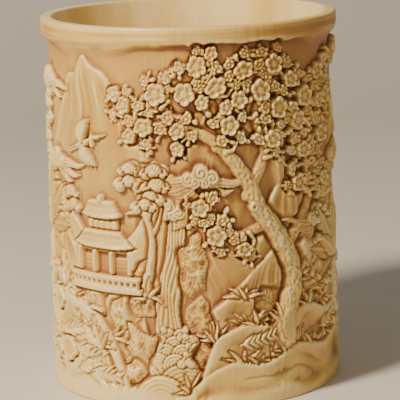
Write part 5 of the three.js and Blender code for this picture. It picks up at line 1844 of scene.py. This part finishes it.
# a turned face: its height over the flat at each radius
def turnedRings(radius, bead):
    offBead = (radius - plate["floorBeadRadius"]) / plate["floorBeadWidth"]
    return bead * math.exp(-offBead ** 2) - plate["grooveDepth"] * grooved(radius, plate["grooveWidth"])


# a solid turned about the upright axis from a profile of (radius, height) that starts and ends on it
def turnedSolid(profile, segments):
    angles = np.arange(segments) / segments * fullTurn
    rings = np.array(profile[1:-1])
    verts = np.stack([
        rings[:, :1] * np.sin(angles),
        rings[:, :1] * -np.cos(angles),
        np.repeat(rings[:, 1:], segments, axis=1),
    ], axis=-1).reshape(-1, 3) * mm
    quads = ringQuads(len(rings), segments, closed=False)
    low = len(verts)
    column = np.arange(segments)
    after = (column + 1) % segments
    last = (len(rings) - 1) * segments
    triangles = np.vstack([
        np.stack([np.full(segments, low), after, column], axis=-1),
        np.stack([np.full(segments, low + 1), last + column, last + after], axis=-1),
    ])
    poles = np.array([(0, 0, profile[0][1] * mm), (0, 0, profile[-1][1] * mm)])
    return np.vstack([verts, poles]), quads, triangles


def basePlate():
    segments = plate["segments"]
    flange = plate["flangeRadius"]
    step = plate["stepRadius"]
    low = plate["underside"]
    ledge = plate["ledge"]
    top = plate["floor"]
    chamfer = plate["chamfer"]
    soft = plate["edgeSoft"]
    bead = plate["floorBead"]
    inner = np.linspace(plate["axisGap"], flange - chamfer - 4.2, plate["innerRings"])
    profile = [(0, low)]
    profile += [(radius, low - turnedRings(radius, 0)) for radius in inner]
    holeRing = len(profile) - 2
    profile += [
        (flange - chamfer, low), (flange - soft, low + chamfer - soft), (flange, low + chamfer + soft),
        (flange, ledge - soft), (flange - soft, ledge),
    ]
    ledgeRing = len(profile) - 2
    profile += [
        (step + soft, ledge), (step, ledge + soft), (step, top - chamfer - soft),
        (step - soft, top - chamfer + soft), (step - chamfer, top - soft / 2),
    ]
    outer = np.linspace(step - chamfer - 0.3, plate["axisGap"], plate["floorRings"])
    profile += [(radius, top - bead + turnedRings(radius, bead)) for radius in outer]
    profile += [(0, top - bead)]
    verts, quads, triangles = turnedSolid(profile, segments)
    added = []
    removed = []
    faces = []
    for turn in pegTurns:
        below = pegMouth(verts, added, removed, faces, holeRing, segments, turn, innerFirst=True)
        above = pegMouth(verts, added, removed, faces, ledgeRing, segments, turn, innerFirst=False)
        joinLoops(faces, list(below.values()), [above[key] for key in below])
    mesh = meshWithHoles("turned_plate", verts, quads, added, removed, faces, triangles)
    verts = np.vstack([verts, np.array(added)])
    reach = np.hypot(verts[:, 0], verts[:, 1]) / mm
    worn = plate["stainSwell"] * lineNoise(reach + 60, 7, 95) + plate["rimStain"] * ease(reach, 40, 50)
    grooves = np.array([grooved(radius, plate["grooveStainWidth"]) for radius in reach])
    addField(mesh, "stainAndShadeDepth", plate["stain"] + worn + plate["grooveStain"] * grooves)
    return placed("turned_plate", mesh)


def pegAt(name, turn):
    rounding = pegs["endRound"]
    side = pegs["radius"]
    low = pegs["lowEnd"]
    high = pegs["highEnd"]
    profile = [(0, low)]
    profile += [(side * share, low + pegs["crown"] * share ** 2) for share in (0.35, 0.7)]
    profile += quarter(side - rounding, low + pegs["crown"] + rounding, rounding, -math.pi / 2, 3)
    upperEnd = [(radius, high + low - height) for radius, height in reversed(profile)]
    profile += [(side, low + share * (high - low)) for share in (0.2, 0.4, 0.6, 0.8)]
    verts, quads, triangles = turnedSolid(profile + upperEnd, pegs["sides"])
    verts = verts + np.array((*onCircle(pegs["circleRadius"], turn), 0)) * mm
    mesh = meshFrom(name, verts, quads, triangles)
    addField(mesh, "stainAndShadeDepth", 0.25 + 0.2 * lineNoise(np.arange(len(verts)), 9, 96))
    return placed(name, mesh)


base = basePlate()
base.data.materials.append(endGrainMaterial("turned ivory across the tusk", 0.0))
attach(base, "root")
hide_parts("base_plate")
pegMaterial = endGrainMaterial("ivory peg", 0.1)
for i, turn in enumerate(pegTurns):
    peg = pegAt(f"ivory_peg_{i + 1}", turn)
    peg.data.materials.append(pegMaterial)
    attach(peg, "root")
    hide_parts(f"base_peg_{i + 1}")
print("plate and pegs built")

studio = dict(
    floorSize=3.0,  # metres, as are the places here
    wallDistance=1.1, sweepRadius=0.5, wallHeight=1.6,
    floorColour="#D9D4CB", worldColour="#DCD8D0", worldStrength=0.25,
    aim=(0, 0, 0.07),
)
softboxes = dict(
    key=dict(place=(-0.62, -0.58, 0.86), size=0.22, power=21.0, colour="#FFEFD6"),
    fill=dict(place=(0.8, -0.7, 0.4), size=0.6, power=1.0, colour="#FFF6EA"),
)
view = dict(
    # the photograph's camera, in shares of the pot's radius and in degrees
    distanceShare=13.462, aimRightShare=0.0499, aimUpShare=1.196,
    elevation=11.586, roll=-1.469, halfField=5.845, sensor=36.0,
)


def softbox(name, place, size, power, colour):
    lamp = bpy.data.lights.new(name, "AREA")
    lamp.shape = "DISK"
    lamp.size = size
    lamp.energy = power
    lamp.color = linear(colour)[:3]
    holder = bpy.data.objects.new(name, lamp)
    holder.location = place
    holder.rotation_euler = (Vector(studio["aim"]) - Vector(place)).to_track_quat("-Z", "Y").to_euler()
    bpy.context.scene.collection.objects.link(holder)


# a board painted matt off-white, which the eye takes as a plain pale ground
def backdropMaterial():
    material, tree, place = newMaterial("matt painted board")
    grain = addNode(tree, "TexNoise", {"Scale": 900.0, "Detail": 2.0}, {"Vector": place})
    bump = addNode(tree, "Bump", {"Strength": 0.1, "Distance": 0.1 * mm}, {"Height": grain})
    paint = {"Base Color": linear(studio["floorColour"]), "Roughness": 0.85}
    shader = addNode(tree, "BsdfPrincipled", paint, {"Normal": bump})
    addNode(tree, "OutputMaterial", None, {"Surface": shader})
    return material


# the floor runs back and sweeps up into a wall
def buildBackdrop():
    half = studio["floorSize"] / 2
    sweep = studio["sweepRadius"]
    back = studio["wallDistance"]
    line = [(-half, 0.0), (0.0, 0.0), *quarter(back - sweep, sweep, sweep, -math.pi / 2, 16)]
    line.append((back, studio["wallHeight"]))
    verts = [(side * half, y, z) for y, z in line for side in (-1, 1)]
    faces = [(2 * i, 2 * i + 1, 2 * i + 3, 2 * i + 2) for i in range(len(line) - 1)]
    mesh = bpy.data.meshes.new("backdrop")
    mesh.from_pydata(verts, [], faces)
    mesh.polygons.foreach_set("use_smooth", [True] * len(faces))
    mesh.materials.append(backdropMaterial())
    backdrop = bpy.data.objects.new("backdrop", mesh)
    bpy.context.scene.collection.objects.link(backdrop)


def buildStudio():
    buildBackdrop()
    for name, settings in softboxes.items():
        softbox(name, **settings)
    world = bpy.data.worlds.new("studio")
    bpy.context.scene.world = world
    world.use_nodes = True
    glow = world.node_tree.nodes["Background"].inputs
    glow["Color"].default_value = linear(studio["worldColour"])
    glow["Strength"].default_value = studio["worldStrength"]


def buildCamera():
    radius = bodyRadius * mm
    elevation = math.radians(view["elevation"])
    aim = Vector((view["aimRightShare"] * radius, 0, view["aimUpShare"] * radius))
    back = Vector((0, -math.cos(elevation), math.sin(elevation)))
    data = bpy.data.cameras.new("camera")
    data.sensor_width = view["sensor"]
    data.lens = view["sensor"] / 2 / math.tan(math.radians(view["halfField"]))
    data.clip_start = 0.05
    camera = bpy.data.objects.new("camera", data)
    camera.location = aim + back * view["distanceShare"] * radius
    camera.rotation_mode = "QUATERNION"
    facing = (-back).to_track_quat("-Z", "Y")
    camera.rotation_quaternion = facing @ Quaternion((0, 0, 1), math.radians(view["roll"]))
    bpy.context.scene.collection.objects.link(camera)
    bpy.context.scene.camera = camera


buildStudio()
buildCamera()
print("studio and camera set")
